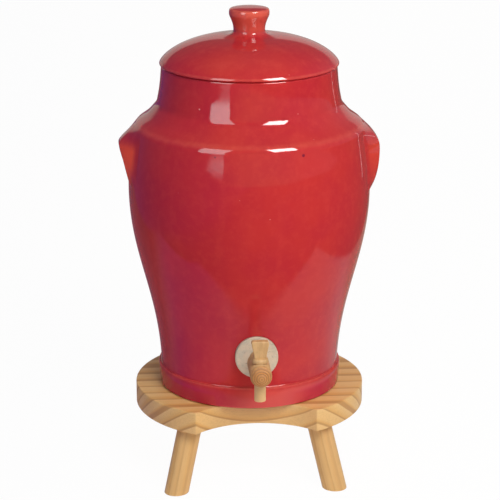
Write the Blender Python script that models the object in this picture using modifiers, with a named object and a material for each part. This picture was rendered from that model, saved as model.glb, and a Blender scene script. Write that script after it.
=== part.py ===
"""Vinegar crock on a three-legged stand.

A thrown stoneware pot with two finger lugs and a domed lid, a wooden tap held in a cork bung,
and a round pine stand whose front is hollowed out so that a glass fits under the spout.
Metres, +Z up. The feet stand on Z = 0, the tap points along -Y and the lugs lie along X.
"""

import math

import bmesh
import bpy
from mathutils import Matrix, Vector, geometry

# Clearances
SEAT_GAP = 0.0003  # between pieces that touch or rest on each other
MERGE = 1e-5

# Stand: board
BOARD_RADIUS = 0.102
BOARD_THICKNESS = 0.020
BOARD_EDGE = 0.0012  # eased edge
BOARD_HEIGHT = 0.0773  # floor to the top of the board
NOTCH_RADIUS = 0.071  # radius of the hollowed front
NOTCH_DEPTH = 0.038  # how far the hollow reaches in from the round edge

# Stand: legs
LEG_RADIUS = 0.0105
LEG_SPLAY = math.radians(18.9)
LEG_EDGE_MARGIN = 0.022  # board's edge to the leg's axis, halfway through the board
LEG_CORNER_MARGIN = 0.016  # notch's corner to the leg's axis, measured sideways
SOCKET_ROOF = 0.004  # wood left above a blind socket
LEG_CHAMFER = 0.001

# Crock: heights, each counted from the one below
BAND_HEIGHT = 0.0165
GROOVE_HEIGHT = 0.0032
BELLY_RISE = 0.1615
SHOULDER_RISE = 0.0555
CONE_RISE = 0.0160
NECK_HEIGHT = 0.0361
NECK_BOW_DROP = 0.0199  # rim to the handle that bends the neck
# Crock: radii
BAND_RADIUS = 0.0813
BAND_STEP = 0.0023  # how far the band stands out from the wall above it
GROOVE_DEPTH = 0.0006
BELLY_RADIUS = 0.1061
SHOULDER_INSET = 0.0064  # belly's radius less the shoulder's
SHOULDER_ROUND = 0.0090
CONE_HOLLOW = 0.0017  # how far the cone sags below a straight line
NECK_FOOT_RADIUS = 0.0812
NECK_FOOT_ROUND = 0.0065
NECK_SWELL = 0.36  # share of the neck's widening that its handle has
RIM_RADIUS = 0.0763
# Crock: lengths of the handles of the belly's curve, as shares of the rise that they bend
SHOULDER_HANDLE = 0.4
SHOULDER_SWELL = 0.7
ABOVE_BELLY_HANDLE = 0.45
BELOW_BELLY_HANDLE = 0.381
WAIST_HANDLE = 0.423
WAIST_SWELL = 0.136
# Crock: wall
WALL = 0.0068
FLOOR = 0.0090
FLOOR_ROUND = 0.0100
FOOT_ROUND = 0.0016
FOOT_RING_WIDTH = 0.0110
FOOT_RING_DEPTH = 0.0015
RIM_ROUND = 0.0018

# Crock: lugs
LUG_REACH = 0.0082  # how far the tip stands out beyond the belly
LUG_HALF_WIDTH = 0.0350
LUG_CREST_HALF_WIDTH = {"left": 0.0050, "right": 0.0090}  # at the tip and above it
LUG_HEIGHT = {"left": 0.0520, "right": 0.0580}  # shoulder's corner down to the foot
LUG_CLIMB = 0.0040  # how far the lug's top runs up the shoulder's slope
LUG_ROOT_SLOPE = 0.75  # 1 is a straight flank, less is a hollower one
LUG_SINK = 0.0012  # depth of the lug's rim below the wall's surface, so that they join
LUG_HOLLOW_HALF_WIDTH = 0.0160
LUG_HOLLOW_FLARE = 0.0025  # the hollow is this much wider and higher at its back
LUG_ARCH_RISE = 0.0120  # spring of the hollow's arch to its crown
LUG_ARCH_SPREAD = 0.0180  # below the tip, the crest widens to the hollow within this height
LUG_HOLLOW_BEYOND = 0.0120  # how far outside the wall the cut for the hollow begins
LUG_LIP = 0.0060  # thickness of the lug above the hollow, at the tip
LUG_TIP_DROP = {"left": 0.0157, "right": 0.0215}  # shoulder's corner down to the tip
LUG_TIP_ROUND = {"left": 0.0030, "right": 0.0090}  # height of the rounding on each side of the tip
LUG_SWELL = {"left": 0.0037, "right": 0.0075}  # how far the lower edge's handle stands out
LUG_SWELL_RISE = 0.0120  # foot up to that handle

# Lid
LID_OVERHANG = 0.0016
LID_LIP = 0.0010
LID_DOME_RISE = 0.0249
LID_DOME_POWER = 2.606
LID_DOME_FULLNESS = 0.724
LID_THICKNESS = 0.0062
LID_RING_DEPTH = 0.0105
LID_RING_WIDTH = 0.0050
LID_RING_PLAY = 0.0012
KNOB_FLARE = 0.0103  # how far the knob's foot runs out over the dome
KNOB_WAIST_RADIUS = 0.0137
KNOB_RADIUS = 0.0175
KNOB_WAIST_RISE = 0.0049  # top of the dome to the waist
KNOB_SIDE_RISE = 0.0140  # waist to the widest place
KNOB_EDGE = 0.0043  # height of the rounded edge above it
KNOB_EDGE_INSET = 0.0026  # how far in that edge meets the crown
KNOB_CROWN = 0.0013

# Tap: cork
TAP_HEIGHT = 0.0495  # crock's underside to the tap's axis
CORK_RADIUS = 0.0187
CORK_PROUD = 0.0050
CORK_TAPER = 0.085  # radius lost per length
CORK_BEYOND_WALL = 0.0060
CORK_EDGE = 0.0012
# Tap: barrel
TAIL_RADIUS = 0.0060
TAIL_BEYOND_CORK = 0.0060
BORE_RADIUS = 0.0026
BARREL_NECK = 0.0070  # cork's face to the swelling of the barrel
BARREL_SWELL = 0.0060
BARREL_WALL = 0.0034  # wood beside the key
KEY_OFFSET = 0.0350  # cork's face to the key's axis
NOSE_LENGTH = 0.0190  # key's axis to the end of the nose
NOSE_ROUND = 0.0095
NOSE_BUTTON_RADIUS = 0.0039
RING_DEPTH = 0.0007  # rings cut into the barrel and the nose
# Tap: key
KEY_RADIUS = 0.0056  # plug, at the top of the barrel
SPOUT_RADIUS = 0.0049
SPOUT_LENGTH = 0.0165
SPOUT_EDGE = 0.0006
SPOUT_BORE_RADIUS = 0.0024
COLLAR_LEDGE = 0.0012
COLLAR_HEIGHT = 0.0042
COLLAR_SEAT_DEPTH = 0.0010
PADDLE_HEIGHT = 0.0150
PADDLE_TOP_WIDTH = 0.0148
PADDLE_FOOT_WIDTH = 0.0102
PADDLE_THICKNESS = 0.0062
PADDLE_CORNER = 0.0018
PADDLE_EDGE = 0.0008

# Facets round a turned piece, steps down and across a lug, points along neck, corners and belly
LUG_STEPS_ABOVE = 5
LUG_STEPS_BELOW = 7
LUG_STEPS_ACROSS = 8
POT_STEPS = 42
BOARD_STEPS = 60
WOOD_STEPS = 32
OUTER_POINTS = (5, 4, 6, 10)
INNER_POINTS = (4, 3, 4, 6)

# Heights and radii that follow from the sizes above
GROOVE_TOP = BAND_HEIGHT + GROOVE_HEIGHT
BELLY_HEIGHT = GROOVE_TOP + BELLY_RISE
SHOULDER_HEIGHT = BELLY_HEIGHT + SHOULDER_RISE
NECK_FOOT_HEIGHT = SHOULDER_HEIGHT + CONE_RISE
RIM_HEIGHT = NECK_FOOT_HEIGHT + NECK_HEIGHT
WAIST_RADIUS = BAND_RADIUS - BAND_STEP
SHOULDER_RADIUS = BELLY_RADIUS - SHOULDER_INSET
LID_RADIUS = RIM_RADIUS + LID_OVERHANG
CORK_LENGTH = CORK_PROUD + WALL + CORK_BEYOND_WALL
KEY_SEAT_RADIUS = KEY_RADIUS + SEAT_GAP
BARREL_RADIUS = KEY_SEAT_RADIUS + BARREL_WALL
COLLAR_RADIUS = KEY_SEAT_RADIUS + COLLAR_LEDGE
COLLAR_SEAT = BARREL_RADIUS - COLLAR_SEAT_DEPTH
LEG_MID_HEIGHT = BOARD_HEIGHT - BOARD_THICKNESS / 2


def bezier(start, start_handle, end_handle, end, count):
    """Points of a cubic Bezier curve in the profile plane, both ends included."""
    knots = [Vector((across, up, 0)) for across, up in (start, start_handle, end_handle, end)]
    return [(point.x, point.y) for point in geometry.interpolate_bezier(*knots, count)]


def rounded(before, corner, after, radius, count):
    """Arc that rounds a corner of a profile and is tangent to both of its sides."""
    here = Vector(corner)
    back = Vector(before) - here
    ahead = Vector(after) - here
    room = min(back.length, ahead.length)
    back.normalize()
    ahead.normalize()
    half = back.angle(ahead) / 2
    reach = min(radius / math.tan(half), 0.9 * room)
    centre = here + (back + ahead).normalized() * reach / math.cos(half)
    spoke = here + back * reach - centre
    turn = spoke.angle_signed(here + ahead * reach - centre)
    arc = []
    for index in range(count):
        turned_spoke = Matrix.Rotation(-turn * index / (count - 1), 2) @ spoke
        arc.append(tuple(centre + turned_spoke))
    return arc


def radius_at(profile, height):
    """Radius, at a height, of a profile that runs downwards."""
    for (upper_radius, upper), (lower_radius, lower) in zip(profile, profile[1:]):
        if lower <= height <= upper and upper > lower:
            share = (height - lower) / (upper - lower)
            return lower_radius + share * (upper_radius - lower_radius)
    return profile[0][0] if height > profile[0][1] else profile[-1][0]


def inset(profile, distance):
    """Downward profile moved inwards, each point square to the line through its neighbours."""
    moved = []
    for index, (radius, height) in enumerate(profile):
        before = Vector(profile[max(index - 1, 0)])
        after = Vector(profile[min(index + 1, len(profile) - 1)])
        along = (after - before).normalized()
        moved.append((radius + along.y * distance, height - along.x * distance))
    return moved


def new_collection(name):
    collection = bpy.data.collections.new(name)
    bpy.context.scene.collection.children.link(collection)
    return collection


def new_material(name, colour, roughness):
    material = bpy.data.materials.new(name)
    material.use_nodes = True
    shader = material.node_tree.nodes["Principled BSDF"]
    shader.inputs["Base Color"].default_value = (*colour, 1.0)
    shader.inputs["Roughness"].default_value = roughness
    shader.inputs["Metallic"].default_value = 0.0
    return material


def new_piece(name, mesh, axis, location=(0, 0, 0), material=None):
    """Object in the parts collection, or in the cutters collection if it has no material."""
    piece = bpy.data.objects.new(name, mesh)
    piece.parent = axis
    piece.location = location
    if material:
        parts.objects.link(piece)
        mesh.materials.append(material)
    else:
        cutters.objects.link(piece)
        piece.hide_render = True
        piece.display_type = "WIRE"
    return piece


def new_axis(name, location, parent=None, turn=(0, 0, 0)):
    """Empty on an axis, which carries the pieces placed round it."""
    axis = bpy.data.objects.new(name, None)
    axis.empty_display_size = 0.02
    parts.objects.link(axis)
    axis.parent = parent
    axis.location = location
    axis.rotation_euler = turn
    return axis


def profile_mesh(name, profile, closed=False):
    mesh = bpy.data.meshes.new(name)
    edges = [(index, index + 1) for index in range(len(profile) - 1)]
    if closed:
        edges.append((len(profile) - 1, 0))
    mesh.from_pydata([(radius, 0, height) for radius, height in profile], edges, [])
    return mesh


def turn_on_lathe(piece, steps):
    """Screw modifier: a full turn of the piece's profile about its own Z axis."""
    screw = piece.modifiers.new("turn", "SCREW")
    screw.steps = steps
    screw.render_steps = steps
    screw.use_merge_vertices = True
    screw.merge_threshold = MERGE
    screw.use_smooth_shade = True


def cylinder_mesh(name, radius, bottom, top, steps, top_radius=None):
    """Cylinder or cone about Z between two heights."""
    solid = bmesh.new()
    bmesh.ops.create_cone(
        solid,
        cap_ends=True,
        segments=steps,
        radius1=radius,
        radius2=radius if top_radius is None else top_radius,
        depth=top - bottom,
        matrix=Matrix.Translation((0, 0, (top + bottom) / 2)),
    )
    mesh = bpy.data.meshes.new(name)
    solid.to_mesh(mesh)
    solid.free()
    mesh.shade_smooth()
    mesh.set_sharp_from_angle(angle=math.radians(35))
    return mesh


def lofted_mesh(name, sections):
    """Closed solid through a stack of rings that all have the same number of points."""
    solid = bmesh.new()
    rings = [[solid.verts.new(point) for point in section] for section in sections]
    for ring, following in zip(rings, rings[1:]):
        for index in range(len(ring)):
            after = (index + 1) % len(ring)
            solid.faces.new((ring[index], ring[after], following[after], following[index]))
    solid.faces.new(reversed(rings[0]))
    solid.faces.new(rings[-1])
    bmesh.ops.triangulate(solid, faces=solid.faces[:])
    bmesh.ops.recalc_face_normals(solid, faces=solid.faces[:])
    mesh = bpy.data.meshes.new(name)
    solid.to_mesh(mesh)
    solid.free()
    return mesh


def outline_mesh(name, outline, thickness):
    """Flat outline in the XZ plane with a thickness along Y."""
    curve = bpy.data.curves.new(name, "CURVE")
    curve.dimensions = "2D"
    curve.fill_mode = "BOTH"
    curve.extrude = thickness / 2
    spline = curve.splines.new("POLY")
    spline.points.add(len(outline) - 1)
    for point, (across, up) in zip(spline.points, outline):
        point.co = (across, up, 0, 1)
    spline.use_cyclic_u = True
    drawn = bpy.data.objects.new(name + "_outline", curve)
    cutters.objects.link(drawn)
    graph = bpy.context.evaluated_depsgraph_get()
    mesh = bpy.data.meshes.new_from_object(drawn.evaluated_get(graph))
    bpy.data.objects.remove(drawn)
    solid = bmesh.new()
    solid.from_mesh(mesh)
    bmesh.ops.remove_doubles(solid, verts=solid.verts[:], dist=MERGE)
    upright = Matrix.Rotation(math.pi / 2, 4, "X")
    bmesh.ops.transform(solid, matrix=upright, verts=solid.verts[:])
    bmesh.ops.recalc_face_normals(solid, faces=solid.faces[:])
    solid.to_mesh(mesh)
    solid.free()
    return mesh


def combine(piece, other, operation):
    """Boolean modifier that joins a piece to another object or cuts it."""
    modifier = piece.modifiers.new(other.name, "BOOLEAN")
    modifier.operation = operation
    modifier.object = other
    modifier.solver = "EXACT"


def ease_edges(piece, width, segments, angle=30):
    modifier = piece.modifiers.new("eased", "BEVEL")
    modifier.width = width
    modifier.segments = segments
    modifier.limit_method = "ANGLE"
    modifier.angle_limit = math.radians(angle)


def outer_wall(neck_count, corner_count, upper_count, lower_count):
    """Outside of the crock from the rim down to the groove: neck, cone, shoulder and belly."""
    rim = (RIM_RADIUS, RIM_HEIGHT)
    neck_foot = (NECK_FOOT_RADIUS, NECK_FOOT_HEIGHT)
    shoulder = (SHOULDER_RADIUS, SHOULDER_HEIGHT)
    belly = (BELLY_RADIUS, BELLY_HEIGHT)
    waist = (WAIST_RADIUS, GROOVE_TOP)
    # The neck widens slowly at first and faster towards its foot.
    neck_swell = NECK_SWELL * (NECK_FOOT_RADIUS - RIM_RADIUS)
    neck_bow = (RIM_RADIUS + neck_swell, RIM_HEIGHT - NECK_BOW_DROP)
    neck = bezier(rim, neck_bow, neck_bow, neck_foot, neck_count)
    # The cone between neck and shoulder is a little hollow.
    slope = (Vector(shoulder) - Vector(neck_foot)).normalized()
    middle = (Vector(shoulder) + Vector(neck_foot)) / 2 + Vector((slope.y, -slope.x)) * CONE_HOLLOW
    middle = tuple(middle)
    foot_arc = rounded(neck[-2], neck_foot, middle, NECK_FOOT_ROUND, corner_count)
    # The belly is upright at its widest place and nearly so at the groove.
    shoulder_handle = (
        SHOULDER_RADIUS + SHOULDER_SWELL * SHOULDER_INSET,
        SHOULDER_HEIGHT - SHOULDER_HANDLE * SHOULDER_RISE,
    )
    above_belly = (BELLY_RADIUS, BELLY_HEIGHT + ABOVE_BELLY_HANDLE * SHOULDER_RISE)
    upper = bezier(shoulder, shoulder_handle, above_belly, belly, upper_count)
    below_belly = (BELLY_RADIUS, BELLY_HEIGHT - BELOW_BELLY_HANDLE * BELLY_RISE)
    waist_lean = WAIST_SWELL * (BELLY_RADIUS - WAIST_RADIUS)
    above_waist = (WAIST_RADIUS + waist_lean, GROOVE_TOP + WAIST_HANDLE * BELLY_RISE)
    lower = bezier(belly, below_belly, above_waist, waist, lower_count)
    shoulder_arc = rounded(middle, shoulder, upper[1], SHOULDER_ROUND, corner_count)
    upper = [point for point in upper if point[1] < shoulder_arc[-1][1] - MERGE]
    return neck[:-1] + foot_arc + [middle] + shoulder_arc + upper + lower[1:]


def pot_profile(outer, inner):
    """Section of the crock: floor, inner wall, rim, outer wall, groove, foot band, foot ring."""
    lowest = FLOOR + FLOOR_ROUND
    highest = RIM_HEIGHT - RIM_ROUND
    inner = [point for point in reversed(inner) if lowest < point[1] < highest]
    mouth = (RIM_RADIUS - WALL, RIM_HEIGHT)
    rim = (RIM_RADIUS, RIM_HEIGHT)
    floor_arc = rounded((0, FLOOR), (inner[0][0], FLOOR), inner[0], FLOOR_ROUND, 5)
    mouth_arc = rounded(inner[-1], mouth, rim, RIM_ROUND, 3)
    rim_arc = rounded(mouth, rim, outer[1], RIM_ROUND, 4)
    wall = [point for point in outer if point[1] < rim_arc[-1][1] - MERGE]
    groove = (WAIST_RADIUS - GROOVE_DEPTH, (BAND_HEIGHT + GROOVE_TOP) / 2)
    band_top = (BAND_RADIUS, BAND_HEIGHT)
    band_bottom = (BAND_RADIUS, 0)
    ring_edge = (BAND_RADIUS - FOOT_RING_WIDTH, 0)
    band = rounded(groove, band_top, band_bottom, FOOT_ROUND, 4)
    band += rounded(band_top, band_bottom, ring_edge, FOOT_ROUND, 4)
    recess = [ring_edge, (ring_edge[0] - FOOT_RING_DEPTH, FOOT_RING_DEPTH), (0, FOOT_RING_DEPTH)]
    inside = [(0, FLOOR)] + floor_arc + inner + mouth_arc
    return inside + rim_arc + wall + [groove] + band + recess


def lug_crest(outer, side):
    """Middle line of a lug from top to foot: out to a rounded, upright tip and back in to the wall."""
    top_height = SHOULDER_HEIGHT + LUG_CLIMB
    foot_height = SHOULDER_HEIGHT - LUG_HEIGHT[side]
    tip_height = SHOULDER_HEIGHT - LUG_TIP_DROP[side]
    tip_radius = BELLY_RADIUS + LUG_REACH
    top = (radius_at(outer, top_height) - LUG_SINK, top_height)
    foot = (radius_at(outer, foot_height) - LUG_SINK, foot_height)
    tip = (tip_radius, tip_height)
    above_tip = (tip_radius, tip_height + LUG_TIP_ROUND[side])
    below_tip = (tip_radius, tip_height - LUG_TIP_ROUND[side])
    below_top = tuple((Vector(top) + Vector(above_tip)) / 2)
    above_foot = (foot[0] + LUG_SWELL[side], foot[1] + LUG_SWELL_RISE)
    upper = bezier(top, below_top, above_tip, tip, LUG_STEPS_ABOVE + 1)
    lower = bezier(tip, below_tip, above_foot, foot, LUG_STEPS_BELOW + 1)
    return upper + lower[1:]


def lug_sections(outer, side):
    """Level slices of a lug from top to bottom, before its hollow is cut.

    Each slice has a crest that follows the pot's round, two flanks that sweep in to the wall,
    and a back that lies inside the wall. The crest is narrow down to the tip and widens below
    it like the arch of the hollow.
    """
    crest_line = lug_crest(outer, side)
    foot_radius, foot_height = crest_line[-1]
    crest_line.append((foot_radius, foot_height - LUG_SINK))
    tip_height = SHOULDER_HEIGHT - LUG_TIP_DROP[side]
    sections = []
    for crest, height in crest_line:
        wall_radius = radius_at(outer, height)
        spread = math.sqrt(min(max(tip_height - height, 0) / LUG_ARCH_SPREAD, 1.0))
        crest_width = LUG_CREST_HALF_WIDTH[side]
        crest_width += spread * (LUG_HOLLOW_HALF_WIDTH - crest_width)
        section = []
        for step in range(-LUG_STEPS_ACROSS, LUG_STEPS_ACROSS + 1):
            across = LUG_HALF_WIDTH * step / LUG_STEPS_ACROSS
            flank = min((LUG_HALF_WIDTH - abs(across)) / (LUG_HALF_WIDTH - crest_width), 1.0)
            hollowed = LUG_ROOT_SLOPE * flank + (1 - LUG_ROOT_SLOPE) * flank**2
            sunk_wall = wall_radius - LUG_SINK * (1 - flank)
            section.append(on_round(sunk_wall + (crest - wall_radius) * hollowed, across, height))
        back = min(wall_radius, crest) - WALL / 2
        for share in (1, 0.5, 0, -0.5, -1):
            section.append(on_round(back, LUG_HALF_WIDTH * share, height))
        sections.append(section)
    return sections


def on_round(radius, across, height):
    """Point at a radius and height, turned by the angle that a length along the belly spans."""
    angle = across / BELLY_RADIUS
    return (radius * math.cos(angle), radius * math.sin(angle), height)


def hollow_sections(outer, side):
    """Finger hollow under a lug: an arch, open below, that widens towards the wall."""
    tip_height = SHOULDER_HEIGHT - LUG_TIP_DROP[side]
    bottom = SHOULDER_HEIGHT - LUG_HEIGHT[side] - WALL
    wall_radius = radius_at(outer, tip_height)
    arches = (
        (wall_radius - WALL, LUG_HOLLOW_HALF_WIDTH + LUG_HOLLOW_FLARE, LUG_HOLLOW_FLARE),
        (wall_radius + LUG_HOLLOW_BEYOND, LUG_HOLLOW_HALF_WIDTH, -LUG_HOLLOW_FLARE),
    )
    sections = []
    for radius, half_width, lift in arches:
        spring = tip_height - LUG_LIP + lift - LUG_ARCH_RISE
        section = [(radius, -half_width, bottom), (radius, half_width, bottom)]
        for step in range(11):
            angle = math.pi * step / 10
            section.append((radius, half_width * math.cos(angle), spring + LUG_ARCH_RISE * math.sin(angle)))
        sections.append(section)
    return sections


def build_pot(axis, glaze):
    """Turned pot with its two lugs, which are one piece with it."""
    outer = outer_wall(*OUTER_POINTS)
    profile = pot_profile(outer, inset(outer_wall(*INNER_POINTS), WALL))
    pot = new_piece("crock_body", profile_mesh("crock_body", profile), axis, material=glaze)
    turn_on_lathe(pot, POT_STEPS)
    for side, turn in (("left", math.pi), ("right", 0.0)):
        lug = new_piece("lug_" + side, lofted_mesh("lug_" + side, lug_sections(outer, side)), axis)
        hollow_mesh = lofted_mesh("lug_hollow_" + side, hollow_sections(outer, side))
        hollow = new_piece("lug_hollow_" + side, hollow_mesh, axis)
        lug.rotation_euler.z = turn
        hollow.rotation_euler.z = turn
        combine(lug, hollow, "DIFFERENCE")
        combine(pot, lug, "UNION")
    return pot


def dome_height(radius):
    """Top of the lid's dome above its seat: a rounded cap, steep at its edge."""
    share = min(radius / LID_RADIUS, 1.0)
    return LID_LIP + LID_DOME_RISE * (1 - share**LID_DOME_POWER) ** LID_DOME_FULLNESS


def knob_profile():
    """Knob from the middle of its crown down to where its foot runs out over the dome."""
    waist_height = dome_height(0) + KNOB_WAIST_RISE
    side_height = waist_height + KNOB_SIDE_RISE
    edge_height = side_height + KNOB_EDGE
    edge_radius = KNOB_RADIUS - KNOB_EDGE_INSET
    crown = bezier(
        (0, edge_height + KNOB_CROWN),
        (0.5 * edge_radius, edge_height + KNOB_CROWN),
        (0.8 * edge_radius, edge_height + 0.6 * KNOB_CROWN),
        (edge_radius, edge_height),
        4,
    )
    edge = bezier(
        (edge_radius, edge_height),
        (KNOB_RADIUS - 0.15 * KNOB_EDGE, edge_height - 0.25 * KNOB_EDGE),
        (KNOB_RADIUS, side_height + 0.4 * KNOB_EDGE),
        (KNOB_RADIUS, side_height),
        4,
    )
    flank = bezier(
        (KNOB_RADIUS, side_height),
        (KNOB_RADIUS, side_height - 0.2 * KNOB_SIDE_RISE),
        (KNOB_WAIST_RADIUS, waist_height + 0.5 * KNOB_SIDE_RISE),
        (KNOB_WAIST_RADIUS, waist_height),
        5,
    )
    foot_radius = KNOB_WAIST_RADIUS + KNOB_FLARE
    flare = bezier(
        (KNOB_WAIST_RADIUS, waist_height),
        (KNOB_WAIST_RADIUS, waist_height - 0.7 * KNOB_WAIST_RISE),
        (KNOB_WAIST_RADIUS + 0.35 * KNOB_FLARE, dome_height(0)),
        (foot_radius, dome_height(foot_radius)),
        5,
    )
    return crown + edge[1:] + flank[1:] + flare[1:]


def lid_profile(mouth_radius):
    """Section of the lid: knob, dome, lip, seat, locating ring and hollow underside."""
    foot_radius = KNOB_WAIST_RADIUS + KNOB_FLARE
    dome = []
    for step in range(1, 10):
        # The steps grow shorter towards the edge, where the dome is steepest.
        share = 1 - (1 - step / 9) ** 1.6
        radius = foot_radius + (LID_RADIUS - foot_radius) * share
        dome.append((radius, dome_height(radius)))
    lip = rounded(dome[-1], (LID_RADIUS, 0), (mouth_radius, 0), LID_LIP, 3)
    ring_outer = mouth_radius - LID_RING_PLAY
    ring_inner = ring_outer - LID_RING_WIDTH
    chamfer = 0.2 * LID_RING_WIDTH
    ring = [
        (ring_outer, 0),
        (ring_outer, chamfer - LID_RING_DEPTH),
        (ring_outer - chamfer, -LID_RING_DEPTH),
        (ring_inner + chamfer, -LID_RING_DEPTH),
        (ring_inner, chamfer - LID_RING_DEPTH),
    ]
    hollow = []
    for step in range(6):
        radius = ring_inner * (1 - step / 5)
        hollow.append((radius, dome_height(radius) - LID_THICKNESS))
    return knob_profile() + dome + lip + ring + hollow


def build_lid(axis, glaze):
    """Lid whose ring drops into the narrowest part of the mouth that it reaches."""
    inner = inset(outer_wall(*INNER_POINTS), WALL)
    ring_foot = RIM_HEIGHT - LID_RING_DEPTH
    reached = [radius for radius, height in inner if height > ring_foot]
    mouth_radius = min(reached + [RIM_RADIUS - WALL, radius_at(inner, ring_foot)])
    lid = new_piece("lid", profile_mesh("lid", lid_profile(mouth_radius)), axis, material=glaze)
    turn_on_lathe(lid, POT_STEPS)


def build_cork(axis, cork):
    """Tapered bung, bored for the tap's tail. Its face is at the axis's origin."""
    hole = TAIL_RADIUS + SEAT_GAP
    inner_radius = CORK_RADIUS - CORK_TAPER * CORK_LENGTH
    inner_end = (inner_radius, -CORK_LENGTH)
    edge = rounded((hole, 0), (CORK_RADIUS, 0), inner_end, CORK_EDGE, 4)
    inner_edge = rounded(edge[-1], inner_end, (hole, -CORK_LENGTH), CORK_EDGE, 3)
    profile = [(hole, 0)] + edge + inner_edge + [(hole, -CORK_LENGTH)]
    bung = new_piece("tap_cork", profile_mesh("tap_cork", profile, closed=True), axis, material=cork)
    turn_on_lathe(bung, WOOD_STEPS)


def barrel_profile():
    """Barrel of the tap from its nose to its tail, with rings cut into nose and barrel."""
    nose_end = KEY_OFFSET + NOSE_LENGTH
    swell_start = BARREL_NECK + BARREL_SWELL
    button = NOSE_BUTTON_RADIUS
    profile = [(0, nose_end), (0.6 * button, nose_end - 0.3 * RING_DEPTH), (button, nose_end - RING_DEPTH)]
    nose = bezier(
        (button, nose_end - 2 * RING_DEPTH),
        (0.8 * BARREL_RADIUS, nose_end - 2.2 * RING_DEPTH),
        (BARREL_RADIUS, nose_end - 0.4 * NOSE_ROUND),
        (BARREL_RADIUS, nose_end - NOSE_ROUND),
        9,
    )
    nose[3] = (nose[3][0] - RING_DEPTH, nose[3][1] - RING_DEPTH)
    profile += nose
    profile += cut_ring((KEY_OFFSET + COLLAR_RADIUS + nose_end - NOSE_ROUND) / 2)
    profile += cut_ring((KEY_OFFSET - COLLAR_RADIUS + swell_start) / 2)
    profile += bezier(
        (BARREL_RADIUS, swell_start),
        (BARREL_RADIUS, swell_start - 0.5 * BARREL_SWELL),
        (TAIL_RADIUS + 0.4 * BARREL_WALL, BARREL_NECK + 0.2 * BARREL_SWELL),
        (TAIL_RADIUS, BARREL_NECK),
        6,
    )
    tail_end = -CORK_LENGTH - TAIL_BEYOND_CORK
    tail_tip = TAIL_RADIUS - RING_DEPTH
    return profile + [(TAIL_RADIUS, tail_end + RING_DEPTH), (tail_tip, tail_end), (0, tail_end)]


def cut_ring(middle):
    """Three points of a V-shaped ring cut round the barrel."""
    return [
        (BARREL_RADIUS, middle + RING_DEPTH),
        (BARREL_RADIUS - RING_DEPTH, middle),
        (BARREL_RADIUS, middle - RING_DEPTH),
    ]


def build_barrel(axis, key_axis, wood):
    """Turned barrel with its bore, its tapered key seat and the flat for the key's collar."""
    barrel = new_piece("tap_barrel", profile_mesh("tap_barrel", barrel_profile()), axis, material=wood)
    turn_on_lathe(barrel, WOOD_STEPS)
    tail_end = -CORK_LENGTH - TAIL_BEYOND_CORK
    bore_mesh = cylinder_mesh("tap_bore", BORE_RADIUS, tail_end - WALL, KEY_OFFSET, 16)
    seat_mesh = key_cone_mesh("key_seat", SEAT_GAP, 2 * BARREL_RADIUS)
    flat_mesh = cylinder_mesh(
        "collar_flat",
        COLLAR_RADIUS + SEAT_GAP,
        COLLAR_SEAT,
        COLLAR_SEAT + BARREL_RADIUS,
        WOOD_STEPS,
    )
    combine(barrel, new_piece("tap_bore", bore_mesh, axis), "DIFFERENCE")
    combine(barrel, new_piece("key_seat", seat_mesh, key_axis), "DIFFERENCE")
    combine(barrel, new_piece("collar_flat", flat_mesh, key_axis), "DIFFERENCE")


def key_radius_at(height):
    """Radius of the key's tapered plug, counted from the barrel's axis."""
    share = (COLLAR_SEAT - height) / (COLLAR_SEAT + BARREL_RADIUS)
    return KEY_RADIUS + (SPOUT_RADIUS - KEY_RADIUS) * share


def key_cone_mesh(name, clearance, reach):
    """Cone that is the key's plug made wider by a clearance and longer by a reach."""
    bottom = key_radius_at(-reach) + clearance
    top = key_radius_at(reach) + clearance
    return cylinder_mesh(name, bottom, -reach, reach, WOOD_STEPS, top)


def build_key(axis, wood):
    """Key: turned spout, tapered plug and collar, joined to a flat paddle, bored from below.

    At rest the side port lies across the barrel, so the tap is shut.
    """
    collar_foot = COLLAR_SEAT + SEAT_GAP
    collar_top = collar_foot + COLLAR_HEIGHT
    spout_end = -BARREL_RADIUS - SPOUT_LENGTH
    neck_radius = 0.5 * PADDLE_FOOT_WIDTH
    collar = bezier(
        (neck_radius, collar_top),
        (COLLAR_RADIUS, collar_top - 0.1 * COLLAR_HEIGHT),
        (COLLAR_RADIUS, collar_foot + 0.5 * COLLAR_HEIGHT),
        (COLLAR_RADIUS, collar_foot + 0.15 * COLLAR_HEIGHT),
        5,
    )
    profile = [(0, collar_top)] + collar + [(COLLAR_RADIUS - 0.15 * COLLAR_HEIGHT, collar_foot)]
    profile += [(key_radius_at(collar_foot), collar_foot), (SPOUT_RADIUS, -BARREL_RADIUS)]
    profile += [(SPOUT_RADIUS, spout_end + SPOUT_EDGE), (SPOUT_RADIUS - SPOUT_EDGE, spout_end)]
    profile.append((0, spout_end))
    key = new_piece("tap_key", profile_mesh("tap_key", profile), axis, material=wood)
    turn_on_lathe(key, WOOD_STEPS)
    paddle_mesh = outline_mesh("paddle", paddle_outline(collar_top), PADDLE_THICKNESS)
    paddle = new_piece("paddle", paddle_mesh, axis)
    ease_edges(paddle, PADDLE_EDGE, 2, 50)
    combine(key, paddle, "UNION")
    spout_bore = cylinder_mesh("spout_bore", SPOUT_BORE_RADIUS, 2 * spout_end, BORE_RADIUS, 16)
    combine(key, new_piece("spout_bore", spout_bore, axis), "DIFFERENCE")
    port = new_piece("key_port", cylinder_mesh("key_port", SPOUT_BORE_RADIUS, 0, 2 * KEY_RADIUS, 16), axis)
    port.rotation_euler.y = math.pi / 2
    combine(key, port, "DIFFERENCE")


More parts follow.
